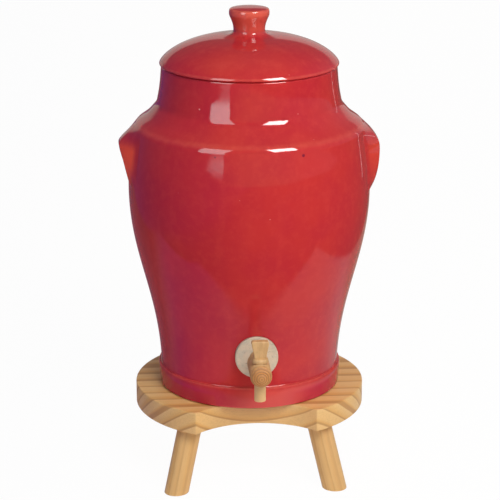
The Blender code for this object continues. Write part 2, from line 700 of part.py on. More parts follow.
def paddle_outline(foot):
    """Front view of the paddle: narrow foot, sides that lean out, rounded top corners."""
    top = foot + PADDLE_HEIGHT
    half_foot = PADDLE_FOOT_WIDTH / 2
    half_top = PADDLE_TOP_WIDTH / 2
    sunk = 0.5 * COLLAR_HEIGHT
    side = bezier(
        (half_foot, foot - sunk),
        (half_foot, foot + 0.35 * PADDLE_HEIGHT),
        (half_top - 0.1 * (half_top - half_foot), foot + 0.6 * PADDLE_HEIGHT),
        (half_top, top - PADDLE_CORNER),
        6,
    )
    corner = rounded(side[-1], (half_top, top), (0, top), PADDLE_CORNER, 4)
    right = side[:-1] + corner
    return right + [(-across, up) for across, up in reversed(right)]


def front_leg_turn():
    """Angle from the front to a front leg, which stands just behind a corner of the notch."""
    notch_centre = BOARD_RADIUS - NOTCH_DEPTH + NOTCH_RADIUS
    corner_reach = (notch_centre**2 + BOARD_RADIUS**2 - NOTCH_RADIUS**2) / (2 * notch_centre)
    corner_turn = math.acos(corner_reach / BOARD_RADIUS)
    return corner_turn + math.asin(LEG_CORNER_MARGIN / (BOARD_RADIUS - LEG_EDGE_MARGIN))


def build_stand(axis, wood):
    """Board with its hollowed front and three slanted blind sockets, and the legs in them."""
    board_mesh = cylinder_mesh("stand_board", BOARD_RADIUS, -BOARD_THICKNESS, 0, BOARD_STEPS)
    board = new_piece("stand_board", board_mesh, axis, (0, 0, BOARD_HEIGHT), wood)
    notch_mesh = cylinder_mesh("notch", NOTCH_RADIUS, -2 * BOARD_THICKNESS, BOARD_THICKNESS, BOARD_STEPS)
    notch_centre = BOARD_RADIUS - NOTCH_DEPTH + NOTCH_RADIUS
    notch = new_piece("notch", notch_mesh, axis, (0, -notch_centre, BOARD_HEIGHT))
    combine(board, notch, "DIFFERENCE")
    ease_edges(board, BOARD_EDGE, 2)
    ground = 2 * BOARD_HEIGHT
    floor = new_piece("floor", cylinder_mesh("floor", 3 * BOARD_RADIUS, -ground, 0, 4), axis)
    socket_reach = BOARD_RADIUS - LEG_EDGE_MARGIN
    socket_top = BOARD_THICKNESS / 2 - SOCKET_ROOF - (LEG_RADIUS + SEAT_GAP) * math.sin(LEG_SPLAY)
    socket_top /= math.cos(LEG_SPLAY)
    for name, turn in (
        ("leg_front_left", -front_leg_turn()),
        ("leg_front_right", front_leg_turn()),
        ("leg_back", math.pi),
    ):
        place = (socket_reach * math.sin(turn), -socket_reach * math.cos(turn), LEG_MID_HEIGHT)
        leg_axis = new_axis(name + "_axis", place, axis, (-LEG_SPLAY, 0, turn))
        leg_mesh = cylinder_mesh(name, LEG_RADIUS, -ground, socket_top - SEAT_GAP, WOOD_STEPS)
        leg = new_piece(name, leg_mesh, leg_axis, material=wood)
        ease_edges(leg, LEG_CHAMFER, 1, 60)
        combine(leg, floor, "DIFFERENCE")
        socket_mesh = cylinder_mesh("socket", LEG_RADIUS + SEAT_GAP, -ground, socket_top, WOOD_STEPS)
        combine(board, new_piece("socket_" + name, socket_mesh, leg_axis), "DIFFERENCE")


def leg_back_reach():
    """Distance from the crock's axis to the back of the back foot."""
    foot_reach = BOARD_RADIUS - LEG_EDGE_MARGIN + LEG_MID_HEIGHT * math.tan(LEG_SPLAY)
    return foot_reach + LEG_RADIUS / math.cos(LEG_SPLAY)


for leftover in list(bpy.data.objects):
    bpy.data.objects.remove(leftover)

parts = new_collection("vinegar_crock")
cutters = new_collection("cutters")
red_glaze = new_material("red_glaze", (0.48, 0.035, 0.042), 0.12)
pine = new_material("pine", (0.62, 0.38, 0.16), 0.45)
beech = new_material("beech", (0.58, 0.36, 0.17), 0.5)
pale_cork = new_material("pale_cork", (0.62, 0.53, 0.42), 0.8)

wall_at_tap = radius_at(outer_wall(*OUTER_POINTS), TAP_HEIGHT)
face_reach = wall_at_tap + CORK_PROUD
front_reach = face_reach + KEY_OFFSET + NOSE_LENGTH
# The origin is under the middle of the whole object, so the pot's axis lies a little behind it.
axis_shift = (front_reach - leg_back_reach()) / 2

stand_axis = new_axis("stand_axis", (0, axis_shift, 0))
crock_axis = new_axis("crock_axis", (0, 0, BOARD_HEIGHT + SEAT_GAP), stand_axis)
lid_axis = new_axis("lid_axis", (0, 0, RIM_HEIGHT + SEAT_GAP), crock_axis)
tap_axis = new_axis("tap_axis", (0, -face_reach, TAP_HEIGHT), crock_axis, (math.pi / 2, 0, 0))
key_axis = new_axis("key_axis", (0, -face_reach - KEY_OFFSET, TAP_HEIGHT), crock_axis)

build_stand(stand_axis, pine)
crock = build_pot(crock_axis, red_glaze)
build_lid(lid_axis, red_glaze)
build_cork(tap_axis, pale_cork)
build_barrel(tap_axis, key_axis, beech)
build_key(key_axis, beech)

# The tap hole has the cork's taper, and runs from outside the wall to well inside it.
hole_mesh = cylinder_mesh(
    "tap_hole",
    CORK_RADIUS + SEAT_GAP - CORK_TAPER * 2 * CORK_LENGTH,
    -2 * CORK_LENGTH,
    CORK_LENGTH,
    WOOD_STEPS,
    CORK_RADIUS + SEAT_GAP + CORK_TAPER * CORK_LENGTH,
)
combine(crock, new_piece("tap_hole", hole_mesh, tap_axis), "DIFFERENCE")
bpy.context.view_layer.update()
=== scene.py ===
"""Looks of the vinegar crock on its three-legged stand.

Every piece is a fine surface worked out from the same sizes as the solids, in their frame: metres,
+Z up, the tap along -Y, the lugs along X. Places come from the boxes of the solids.
"""

import math

import bpy
import numpy as np
from mathutils import Euler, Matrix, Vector


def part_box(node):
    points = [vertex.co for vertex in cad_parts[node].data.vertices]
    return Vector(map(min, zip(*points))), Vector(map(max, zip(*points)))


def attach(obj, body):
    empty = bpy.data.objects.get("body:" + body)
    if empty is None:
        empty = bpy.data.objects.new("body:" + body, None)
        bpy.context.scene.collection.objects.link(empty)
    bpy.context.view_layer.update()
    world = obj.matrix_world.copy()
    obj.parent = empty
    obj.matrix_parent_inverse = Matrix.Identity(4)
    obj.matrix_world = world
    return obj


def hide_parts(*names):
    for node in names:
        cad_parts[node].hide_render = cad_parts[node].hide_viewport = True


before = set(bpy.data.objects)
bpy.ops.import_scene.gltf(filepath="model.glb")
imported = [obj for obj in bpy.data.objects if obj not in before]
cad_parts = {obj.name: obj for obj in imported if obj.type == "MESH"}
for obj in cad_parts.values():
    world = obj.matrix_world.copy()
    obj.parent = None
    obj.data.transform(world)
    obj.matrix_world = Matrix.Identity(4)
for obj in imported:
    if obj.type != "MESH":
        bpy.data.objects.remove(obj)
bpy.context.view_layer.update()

MM = 0.001
GAP = 0.3 * MM  # between pieces that touch
POLE = 0.3 * MM  # radius of the last ring before a turned piece's pole
SAME_PLACE = 0.01 * MM  # points of a profile that are no further apart count as one

# Stand
BOARD_RADIUS = 102 * MM
BOARD_THICKNESS = 20 * MM
BOARD_EDGE = 1.2 * MM
NOTCH_RADIUS = 71 * MM
NOTCH_DEPTH = 38 * MM
NOTCH_CORNER = 1.5 * MM
LEG_RADIUS = 10.5 * MM
LEG_SPLAY = math.radians(18.9)
LEG_EDGE_MARGIN = 22 * MM
LEG_CORNER_MARGIN = 16 * MM
LEG_EDGE = 1.0 * MM
LEG_FOOT_EDGE = 0.3 * MM
SOCKET_ROOF = 4 * MM

# Crock, with heights above its underside
BAND_HEIGHT = 19.2 * MM
GROOVE_TOP = BAND_HEIGHT + 2.4 * MM
BELLY_RISE = 159.6 * MM
BELLY_HEIGHT = GROOVE_TOP + BELLY_RISE
SHOULDER_RISE = 55.5 * MM
SHOULDER_HEIGHT = BELLY_HEIGHT + SHOULDER_RISE
NECK_FOOT_HEIGHT = SHOULDER_HEIGHT + 18.2 * MM
NECK_HEIGHT = 33.9 * MM
RIM_HEIGHT = NECK_FOOT_HEIGHT + NECK_HEIGHT
BAND_RADIUS = 81.3 * MM
BAND_LEAN = 1.0 * MM
WAIST_RADIUS = 79.0 * MM
BELLY_RADIUS = 106.1 * MM
SHOULDER_RADIUS = 100.6 * MM
SHOULDER_ROUND = 9 * MM
CONE_HOLLOW = 1.7 * MM
COVE_WIDTH = 0.8 * MM  # level floor of the groove, up to the band's edge
COVE_RISE = 0.5 * MM
BAND_SWELL = 0.55 * MM  # of the glaze, from the band's sharp upper edge out to its side
BAND_SWELL_DROP = 2.8 * MM
NECK_FOOT_RADIUS = 80.8 * MM
NECK_FOOT_ROUND = 12 * MM
NECK_BOW_DROP = 19.9 * MM
RIM_RADIUS = 76.3 * MM
RIM_ROUND = 1.8 * MM
WALL = 6.8 * MM
FLOOR = 9 * MM
FLOOR_ROUND = 10 * MM
FOOT_ROUND = 1.6 * MM
FOOT_RING = 11 * MM
FOOT_RECESS = 1.5 * MM

# Shares that place the handles of the wall's curves
NECK_LEAN = 0.36
SHOULDER_LEAN = 0.5
SHOULDER_PULL = 0.4
BELLY_PULL_UP = 0.45
BELLY_PULL_DOWN = 0.381
WAIST_PULL = (0.136, 0.423)

# Lugs, with lengths to the side measured round the belly
LUG_TIP_RADIUS = 114.3 * MM
LUG_HALF_WIDTH = 35 * MM
LUG_CLIMB = 4 * MM
LUG_LIP = 6 * MM
LUG_LIP_ROUND = 2 * MM
LUG_LIP_STRETCH = 1.5 * MM  # of plain wall, beside the hollow, that stands for the lip
LUG_ROOT_SLOPE = 0.75
LUG_SWELL_RISE = 12 * MM
LUG_ARCH_SPREAD = 18 * MM
HOLLOW_HALF_WIDTH = 17.5 * MM
HOLLOW_RISE = 12 * MM  # from the spring of the hollow's arch to its crown
HOLLOW_SIDES = (9.5 * MM, 16.5 * MM)  # where the hollow's floor ends and where its rim begins
CEILING_STRETCH = 6 * MM  # of plain wall, beside the hollow, that stands for lip and ceiling
CEILING_REACH = 3 * MM  # of the curve from the lip in to the ceiling
CEILING_DROP = 3 * MM  # from the hollow's arch to where its ceiling meets the wall
CEILING_RISES = (0.8 * MM, 1.2 * MM)
ZONE_MARGINS = (0.5 * MM, 0.2 * MM)  # from the lugs' stretch to the rings below and above it
LUGS = {
    "right": {
        "turn": 0.0, "drop": 21.5 * MM, "height": 58 * MM,
        "round": 9 * MM, "crest": 9 * MM, "swell": 7.5 * MM,
    },
    "left": {
        "turn": math.pi, "drop": 15.7 * MM, "height": 52 * MM,
        "round": 3 * MM, "crest": 5 * MM, "swell": 3.7 * MM,
    },
}
LUG_TOP = SHOULDER_HEIGHT + LUG_CLIMB
LUG_FOOT = SHOULDER_HEIGHT - max(lug["height"] for lug in LUGS.values())

# Lid, with heights above its seat
LID_RADIUS = 77.9 * MM
LID_LIP = 1.0 * MM
LID_DOME_RISE = 23.8 * MM
LID_DOME_POWER = 2.606
LID_DOME_FULLNESS = 0.724
LID_THICKNESS = 6.2 * MM
LID_RING_DEPTH = 10.5 * MM
LID_RING_WIDTH = 5 * MM
LID_RING_RADIUS = 68.2 * MM
LID_RING_ROOT = 0.6 * MM
LID_RING_ROUND = 1.0 * MM
KNOB_FLARE = 10.3 * MM
KNOB_WAIST_RADIUS = 13.7 * MM
KNOB_RADIUS = 17.5 * MM
KNOB_WAIST_RISE = 4.9 * MM
KNOB_SIDE_RISE = 14 * MM
KNOB_EDGE = 4.3 * MM
KNOB_CROWN = 1.3 * MM

# Tap
CORK_RADIUS = 18.7 * MM
CORK_LENGTH = 17.8 * MM
CORK_TAPER = 0.085
CORK_EDGE = 1.2 * MM
TAIL_RADIUS = 6 * MM
TAIL_BEYOND_CORK = 6 * MM
BORE_RADIUS = 2.6 * MM
BARREL_NECK = 7 * MM
BARREL_SWELL = 6 * MM
BARREL_FLARE = 1.4 * MM
BARREL_RADIUS = 9.3 * MM
KEY_OFFSET = 35 * MM
NOSE_LENGTH = 19 * MM
NOSE_ROUND = 9.5 * MM
RING_DEPTH = 0.7 * MM
NOSE_RINGS = (0.17, 0.42, 0.66)  # shares of the way along the nose's curve
NOSE_RING_SPREAD = 0.035
KEY_RADIUS = 5.6 * MM
SPOUT_RADIUS = 4.9 * MM
SPOUT_LENGTH = 16.5 * MM
SPOUT_EDGE = 0.6 * MM
SPOUT_BORE_RADIUS = 2.4 * MM
COLLAR_RADIUS = 7.1 * MM
COLLAR_SEAT = 8.3 * MM
COLLAR_HEIGHT = 4.2 * MM
PADDLE_HEIGHT = 15 * MM
PADDLE_TOP_WIDTH = 14.8 * MM
PADDLE_FOOT_WIDTH = 10.2 * MM
PADDLE_THICKNESS = 6.2 * MM
PADDLE_CORNER = 1.8 * MM
PADDLE_EDGE = 0.8 * MM

# Colours of the glaze
DEEP_RED = (0.500, 0.022, 0.032)
CLOUD_RED = (0.560, 0.032, 0.030)
MOTTLE_RED = (0.62, 0.050, 0.042)
THIN_RED = (0.72, 0.115, 0.075)
# painted light on the lugs' faces, partly the orange of thin glaze
LUG_PAINTED_LIGHT = (1.00, 0.105, 0.035)
# painted reflection of the pale board and floor on the band's front
BAND_PAINTED_REFLECTION = (0.72, 0.090, 0.075)
# painted shade on the band's sides
BAND_PAINTED_SHADE = (0.52, 0.012, 0.070)
PINHOLE_PINK = (0.75, 0.34, 0.28)

DRAW_IN = 1.9  # above the belly the wall draws in by about this times the height's square

# Edges on which the glaze runs thin: height above the pot's underside, reach and share
THIN_RIDGES = (
    (SHOULDER_HEIGHT + 1.0 * MM, 3.4 * MM, 0.3),
    (BAND_HEIGHT - 0.6 * MM, 1.6 * MM, 0.5),
    (RIM_HEIGHT + 2.2 * MM, 1.6 * MM, 0.4),
    (0, 3 * MM, 0.5),
)

# Specks in the glaze's front: place across and height in the frame, radius and colour
SPECKS = (
    (-46.7 * MM, 341.4 * MM, 0.7 * MM, (0.80, 0.40, 0.36)),
    (35.7 * MM, 337.8 * MM, 0.6 * MM, (0.66, 0.16, 0.14)),
    (9.5 * MM, 256.0 * MM, 0.6 * MM, (0.70, 0.20, 0.18)),
    (-35.6 * MM, 307.6 * MM, 0.9 * MM, (0.22, 0.01, 0.02)),
    (38.3 * MM, 307.5 * MM, 1.6 * MM, (0.22, 0.01, 0.03)),
)

# Colours of the pine, and the stops of one of its rings from the pith outwards
PINE = (0.71, 0.425, 0.160)
PINE_FIBRE = (0.62, 0.36, 0.13)
PINE_PORE = (0.45, 0.25, 0.10)
PINE_PALE = (0.82, 0.55, 0.25)
PINE_RING = (
    (0.0, (0.88, 0.570, 0.240)),
    (0.45, (0.86, 0.535, 0.200)),
    (0.72, (0.80, 0.435, 0.120)),
    (0.84, (0.60, 0.295, 0.085)),
    (0.95, (0.62, 0.310, 0.090)),
    (1.0, (0.86, 0.550, 0.225)),
)

# Colours of the tap's wood
TAP_PALE = (0.68, 0.420, 0.180)
TAP_BAND = (0.58, 0.335, 0.130)
TAP_FIBRE = (0.43, 0.235, 0.085)
END_GRAIN_PALE = (0.62, 0.25, 0.050)
END_GRAIN_DARK = (0.35, 0.125, 0.025)
# painted light on the spout, under the barrel
SPOUT_PAINTED_LIGHT = (0.80, 0.51, 0.225)

# Colours of the cork
CORK_PALE = (0.69, 0.565, 0.42)
CORK_BROWN = (0.58, 0.475, 0.345)
CORK_GREY = (0.50, 0.46, 0.37)
CORK_PIT = (0.30, 0.24, 0.17)

# Grain of board and legs
BOARD_RING_TILT = math.radians(216.5)  # about the grain
BOARD_RING_WIDTH = 10.5 * MM
BOARD_PITH_DEPTH = 160 * MM
BOARD_SEED = 0.3
LEG_RING_WIDTH = 6 * MM
LEG_PITH_DEPTH = 50 * MM
LEG_FIGURE = 0.35

# Places in the frame
AXIS_Y = (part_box("crock_body")[0][1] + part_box("crock_body")[1][1]) / 2
POT_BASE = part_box("crock_body")[0][2]
LID_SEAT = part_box("lid")[0][2] + LID_RING_DEPTH
BOARD_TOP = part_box("stand_board")[1][2]
TAP_HEIGHT = (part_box("tap_barrel")[0][2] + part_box("tap_barrel")[1][2]) / 2
CORK_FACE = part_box("tap_cork")[0][1]
KEY_Y = CORK_FACE - KEY_OFFSET
TAP_ORIGIN = (0, CORK_FACE, TAP_HEIGHT)
TAP_LINE = (0, -1, 0)
KEY_ORIGIN = (0, KEY_Y, TAP_HEIGHT)

# Camera and studio
CAMERA_TURN = math.radians(4.3)  # the camera stands this far to the left of the tap's line
CAMERA_TILT = math.radians(17.05)
CAMERA_DISTANCE = 1.827
CAMERA_HEIGHT = 0.7577
FOCAL_PIXELS = 2150
FRAME_PIXELS = 500
SENSOR_WIDTH = 36
AXIS_OFFSET_PIXELS = 0.8  # the crock's axis is this far left of the picture's middle
LAMPS_AIM = POT_BASE + 0.2
FLOOR_REACH = 6.0

# Edges on the floor, each from where it starts to where it is full
LIT_SIDE = (-0.42, 0.08)
SHEET_NEAR = (-0.239, -0.209)
SHEET_RIGHT = (0.44, 0.40)
SHEET_LEFT_BLUR = 0.02
CLEAR_SHARE = 0.96  # of the floor as the camera sees it: plain white, without shade

# Colours of the floor as rough surfaces see it, and of sheet and bare floor as the glaze does
CLEAR_WHITE = (1, 1, 1)
FLOOR_WHITE = (0.8, 0.8, 0.8)
FLOOR_DULL = (0.55, 0.53, 0.60)
FLOOR_GLOW = (1.0, 0.96, 0.90)
FLOOR_DULL_GLOW = (0.46, 0.44, 0.48)
SHEET_FRONT = (0.55, 0.53, 0.55)
SHEET_BACK = (0.62, 0.62, 0.62)
SHEET_FRONT_LEFT = (0.32, 0.14, 0.50)
SHEET_BACK_LEFT = (0.26, 0.11, 0.15)
SHEET_BACK_RIGHT = (0.40, 0.32, 0.26)
BARE_RIGHT = (0.20, 0.12, 0.11)
BARE_LEFT = (0.14, 0.08, 0.28)

# Colours of the room as the glaze mirrors it, and of the fill that rough surfaces see
ROOM_DARK = (0.14, 0.13, 0.14)
ROOM_FRONT = (0.62, 0.46, 0.32)
ROOM_LEFT = (0.13, 0.07, 0.27)
ROOM_RIGHT = (0.26, 0.28, 0.36)
ROOM_CEILING = (0.32, 0.27, 0.24)
BACKDROP = (0.58, 0.55, 0.52)
FILL = (0.38, 0.37, 0.37)
FILL_LEFT = (0.07, 0.07, 0.12)
FILL_ABOVE = (0.58, 0.57, 0.56)

# Lamps: name, turn and rise in degrees, distance, width, height, radiance and colour
KEY_LAMP = ("key_lamp", 22, 38, 1.3, 0.60, 0.60, 9.2, (1.0, 0.97, 0.94))
KEY_LAMP_IN_GLAZE = ("key_lamp_in_glaze", 36.5, 39, 1.3, 0.52, 0.62, 26, (1.0, 0.96, 0.93))
WINDOW = ("window", -35, 23, 0.8, 0.38, 0.76, 5.0, (0.75, 1.0, 1.0))
RIGHT_STRIP = ("right_strip", 131, 2, 1.3, 0.02, 0.80, 2.0, (1.0, 0.85, 0.85))


def points_at(*coordinates):
    """Points with these coordinates, each a number or an array."""
    return np.stack(np.broadcast_arrays(*coordinates), axis=-1)


def curve(start, start_handle, end_handle, end, count):
    """Cubic Bezier curve: the four points weighted by (1-t)^3, 3t(1-t)^2, 3t^2(1-t) and t^3."""
    points = [np.array(point, float) for point in (start, start_handle, end_handle, end)]
    t = np.linspace(0, 1, count).reshape(-1, *(1,) * points[0].ndim)
    weights = ((1 - t) ** 3, 3 * t * (1 - t) ** 2, 3 * t**2 * (1 - t), t**3)
    return sum(weight * point for weight, point in zip(weights, points))


def rounded(before, corner, after, radius, count):
    """Arc that touches both sides of a corner, with its centre on the line that halves it.

    It is made smaller where it would take up more than nine tenths of the shorter side.
    """
    corner = np.array(corner, float)
    back = np.array(before, float) - corner
    ahead = np.array(after, float) - corner
    room = min(np.linalg.norm(back), np.linalg.norm(ahead))
    back = back / np.linalg.norm(back)
    ahead = ahead / np.linalg.norm(ahead)
    half = math.acos(np.clip(back @ ahead, -1, 1)) / 2
    reach = min(radius / math.tan(half), 0.9 * room)
    halfway = (back + ahead) / np.linalg.norm(back + ahead)
    centre = corner + halfway * reach / math.cos(half)
    first = corner + back * reach - centre
    last = corner + ahead * reach - centre
    start = math.atan2(first[1], first[0])
    turn = (math.atan2(last[1], last[0]) - start + math.pi) % (2 * math.pi) - math.pi
    angle = start + turn * np.linspace(0, 1, count)
    return centre + np.hypot(*first) * points_at(np.cos(angle), np.sin(angle))


def joined(*stretches):
    """One profile from several stretches, without the points that repeat the one before."""
    points = np.concatenate([np.atleast_2d(np.array(stretch, float)) for stretch in stretches])
    apart = np.linalg.norm(np.diff(points, axis=0), axis=1) > SAME_PLACE
    return points[np.concatenate([[True], apart])]


def inset(profile, distance):
    """Downward profile moved inwards, each point square to the line through its neighbours."""
    along = np.gradient(profile, axis=0)
    along /= np.linalg.norm(along, axis=1)[:, None]
    return profile + distance * points_at(along[:, 1], -along[:, 0])


def smooth_step(values, low, high):
    """0 below low, 1 above high, and 3t^2 - 2t^3 between them."""
    t = np.clip((values - low) / (high - low), 0, 1)
    return t * t * (3 - 2 * t)


def plate_edge(outline, thickness, radius, count):
    """Outlines round a plate's edge, with how deep each lies below its face.

    By the lean a of its two quarter rounds an outline is drawn in by r - r sin a and lies
    r - r cos a deep. In is to the left of the line through a point's neighbours.
    """
    lean = np.linspace(0, math.pi / 2, count)
    drawn_in = radius * (1 - np.sin(np.concatenate([lean, lean[::-1]])))
    drop = radius * (1 - np.cos(lean))
    along = np.roll(outline, -1, axis=0) - np.roll(outline, 1, axis=0)
    inward = points_at(-along[:, 1], along[:, 0]) / np.linalg.norm(along, axis=1)[:, None]
    depths = np.concatenate([drop, thickness - drop[::-1]])[:, None]
    return outline + drawn_in[:, None, None] * inward, depths


def turned(profile, steps, origin, along=(0, 0, 1), side=(1, 0, 0)):
    """Rings of a turned piece: origin + radius * (side * cos + across * sin) + height * along."""
    along = np.array(along, float)
    side = np.array(side, float)
    across = np.cross(along, side)
    turn = np.linspace(0, 2 * math.pi, steps, endpoint=False)[:, None]
    spokes = np.cos(turn) * side + np.sin(turn) * across
    profile = np.array(profile)
    return np.array(origin) + profile[:, :1, None] * spokes + profile[:, 1:, None] * along


def mesh_of(name, points, quads, triangles):
    """Mesh whose faces point outwards: their corners are reversed if its volume is negative."""
    fans = np.concatenate([quads[:, [0, 1, 2]], quads[:, [0, 2, 3]], triangles])
    first, second, third = (points[fans[:, corner]] for corner in range(3))
    if np.einsum("ij,ij->", first, np.cross(second, third)) < 0:
        quads = quads[:, ::-1]
        triangles = triangles[:, ::-1]
    mesh = bpy.data.meshes.new(name)
    mesh.vertices.add(len(points))
    mesh.vertices.foreach_set("co", points.ravel())
    corners = np.concatenate([quads.ravel(), triangles.ravel()])
    starts = [4 * np.arange(len(quads)), quads.size + 3 * np.arange(len(triangles))]
    starts = np.concatenate(starts)
    mesh.loops.add(len(corners))
    mesh.loops.foreach_set("vertex_index", corners)
    mesh.polygons.add(len(starts))
    mesh.polygons.foreach_set("loop_start", starts)
    mesh.update(calc_edges=True)
    return mesh


def closed_mesh(name, rings, loop=False):
    """Mesh through a stack of rings that all have as many points.

    Quads join neighbouring rings. Each end ring is closed by a fan to its middle or, with loop,
    the last ring is joined to the first.
    """
    rows, columns = rings.shape[:2]
    index = np.arange(rows * columns).reshape(rows, columns)
    upper = index if loop else index[:-1]
    lower = np.roll(index, -1, axis=0) if loop else index[1:]
    quads = np.stack([upper, np.roll(upper, -1, 1), np.roll(lower, -1, 1), lower], axis=-1)
    quads = quads.reshape(-1, 4)
    points = rings.reshape(-1, 3)
    if loop:
        return mesh_of(name, points, quads, np.empty((0, 3), int))
    points = np.concatenate([points, rings[[0, -1]].mean(axis=1)])
    pole = np.full(columns, rows * columns)
    first = np.stack([pole, np.roll(index[0], -1), index[0]], axis=-1)
    last = np.stack([pole + 1, index[-1], np.roll(index[-1], -1)], axis=-1)
    return mesh_of(name, points, quads, np.concatenate([first, last]))


def in_scene(name, data):
    """Object with this mesh, lamp or camera, linked into the scene."""
    holder = bpy.data.objects.new(name, data)
    bpy.context.scene.collection.objects.link(holder)
    return holder


def carved(mesh, cutters, additions=()):
    """The mesh with others joined to it and then others cut away, by exact Booleans."""
    helpers = [in_scene(mesh.name, mesh)]
    steps = [("UNION", other) for other in additions]
    steps += [("DIFFERENCE", other) for other in cutters]
    for operation, other in steps:
        helpers.append(in_scene(other.name, other))
        modifier = helpers[0].modifiers.new(other.name, "BOOLEAN")
        modifier.operation = operation
        modifier.object = helpers[-1]
        modifier.solver = "EXACT"
    graph = bpy.context.evaluated_depsgraph_get()
    result = bpy.data.meshes.new_from_object(helpers[0].evaluated_get(graph))
    for helper in helpers:
        bpy.data.objects.remove(helper)
    return result


def show(name, mesh, material, body, node, sharp=40):
    """Piece with a finish, which rides on a body and stands for one node."""
    mesh.materials.clear()
    mesh.materials.append(material)
    mesh.shade_smooth()
    mesh.set_sharp_from_angle(angle=math.radians(sharp))
    piece = in_scene(name, mesh)
    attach(piece, body)
    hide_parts(node)


def outer_wall():
    """Outside of the pot from the rim down to the groove: neck, cone, shoulder and belly."""
    rim = (RIM_RADIUS, RIM_HEIGHT)
    neck_foot = (NECK_FOOT_RADIUS, NECK_FOOT_HEIGHT)
    shoulder = (SHOULDER_RADIUS, SHOULDER_HEIGHT)
    belly = (BELLY_RADIUS, BELLY_HEIGHT)
    waist = (WAIST_RADIUS, GROOVE_TOP)
    neck_lean = NECK_LEAN * (NECK_FOOT_RADIUS - RIM_RADIUS)
    neck_bow = (RIM_RADIUS + neck_lean, RIM_HEIGHT - NECK_BOW_DROP)
    neck = curve(rim, neck_bow, neck_bow, neck_foot, 34)
    slope = np.subtract(shoulder, neck_foot) / math.dist(shoulder, neck_foot)
    middle = np.add(shoulder, neck_foot) / 2 + CONE_HOLLOW * np.array([slope[1], -slope[0]])
    foot_arc = rounded(neck[-6], neck_foot, middle, NECK_FOOT_ROUND, 12)
    shoulder_lean = SHOULDER_LEAN * (BELLY_RADIUS - SHOULDER_RADIUS)
    below_shoulder = (SHOULDER_RADIUS + shoulder_lean, SHOULDER_HEIGHT - SHOULDER_PULL * SHOULDER_RISE)
    above_belly = (BELLY_RADIUS, BELLY_HEIGHT + BELLY_PULL_UP * SHOULDER_RISE)
    upper = curve(shoulder, below_shoulder, above_belly, belly, 54)
    below_belly = (BELLY_RADIUS, BELLY_HEIGHT - BELLY_PULL_DOWN * BELLY_RISE)
    waist_lean = WAIST_PULL[0] * (BELLY_RADIUS - WAIST_RADIUS)
    above_waist = (WAIST_RADIUS + waist_lean, GROOVE_TOP + WAIST_PULL[1] * BELLY_RISE)
    lower = curve(belly, below_belly, above_waist, waist, 56)
    shoulder_arc = rounded(middle, shoulder, upper[6], SHOULDER_ROUND, 22)
    cone = curve(foot_arc[-1], middle, middle, shoulder_arc[0], 14)
    neck = neck[neck[:, 1] > foot_arc[0, 1]]
    upper = upper[upper[:, 1] < shoulder_arc[-1, 1]]
    return joined(neck, foot_arc, cone, shoulder_arc, upper, lower)


OUTER = outer_wall()


def wall_radius(heights):
    """Radius of the pot's outside at any heights."""
    return np.interp(heights, OUTER[::-1, 1], OUTER[::-1, 0])


def lug_crest(lug):
    """Middle line of a lug: two Bezier curves that meet upright at its tip.

    One comes out along the cone's slope, the other goes back in to the wall.
    """
    foot_height = SHOULDER_HEIGHT - lug["height"]
    top = points_at(wall_radius(LUG_TOP), LUG_TOP)
    foot = points_at(wall_radius(foot_height), foot_height)
    tip = points_at(LUG_TIP_RADIUS, SHOULDER_HEIGHT - lug["drop"])
    upright = points_at(0, lug["round"])
    upper = curve(top, (top + tip + upright) / 2, tip + upright, tip, 24)
    lower = curve(tip, tip - upright, foot + (lug["swell"], LUG_SWELL_RISE), foot, 40)
    return joined(upper, lower)


def lug_outside(lug, sideways, heights):
    """Outside of wall and lug: the wall, plus the crest's reach times the flank's share.

    The share is 1 on the crest and falls to 0 at the lug's root as k*f + (1-k)*f^2.
    The crest is narrow at the tip and widens below it like the arch of the hollow.
    """
    crest_line = lug_crest(lug)
    reach = np.interp(heights, crest_line[::-1, 1], crest_line[::-1, 0]) - wall_radius(heights)
    tip_height = SHOULDER_HEIGHT - lug["drop"]
    arch = np.sqrt(np.clip((tip_height - heights) / LUG_ARCH_SPREAD, 0, 1))
    crest_width = lug["crest"] + (HOLLOW_HALF_WIDTH - lug["crest"]) * arch
    flank = np.clip((LUG_HALF_WIDTH - np.abs(sideways)) / (LUG_HALF_WIDTH - crest_width), 0, 1)
    share = LUG_ROOT_SLOPE * flank + (1 - LUG_ROOT_SLOPE) * flank**2
    return wall_radius(heights) + np.clip(reach, 0, None) * share


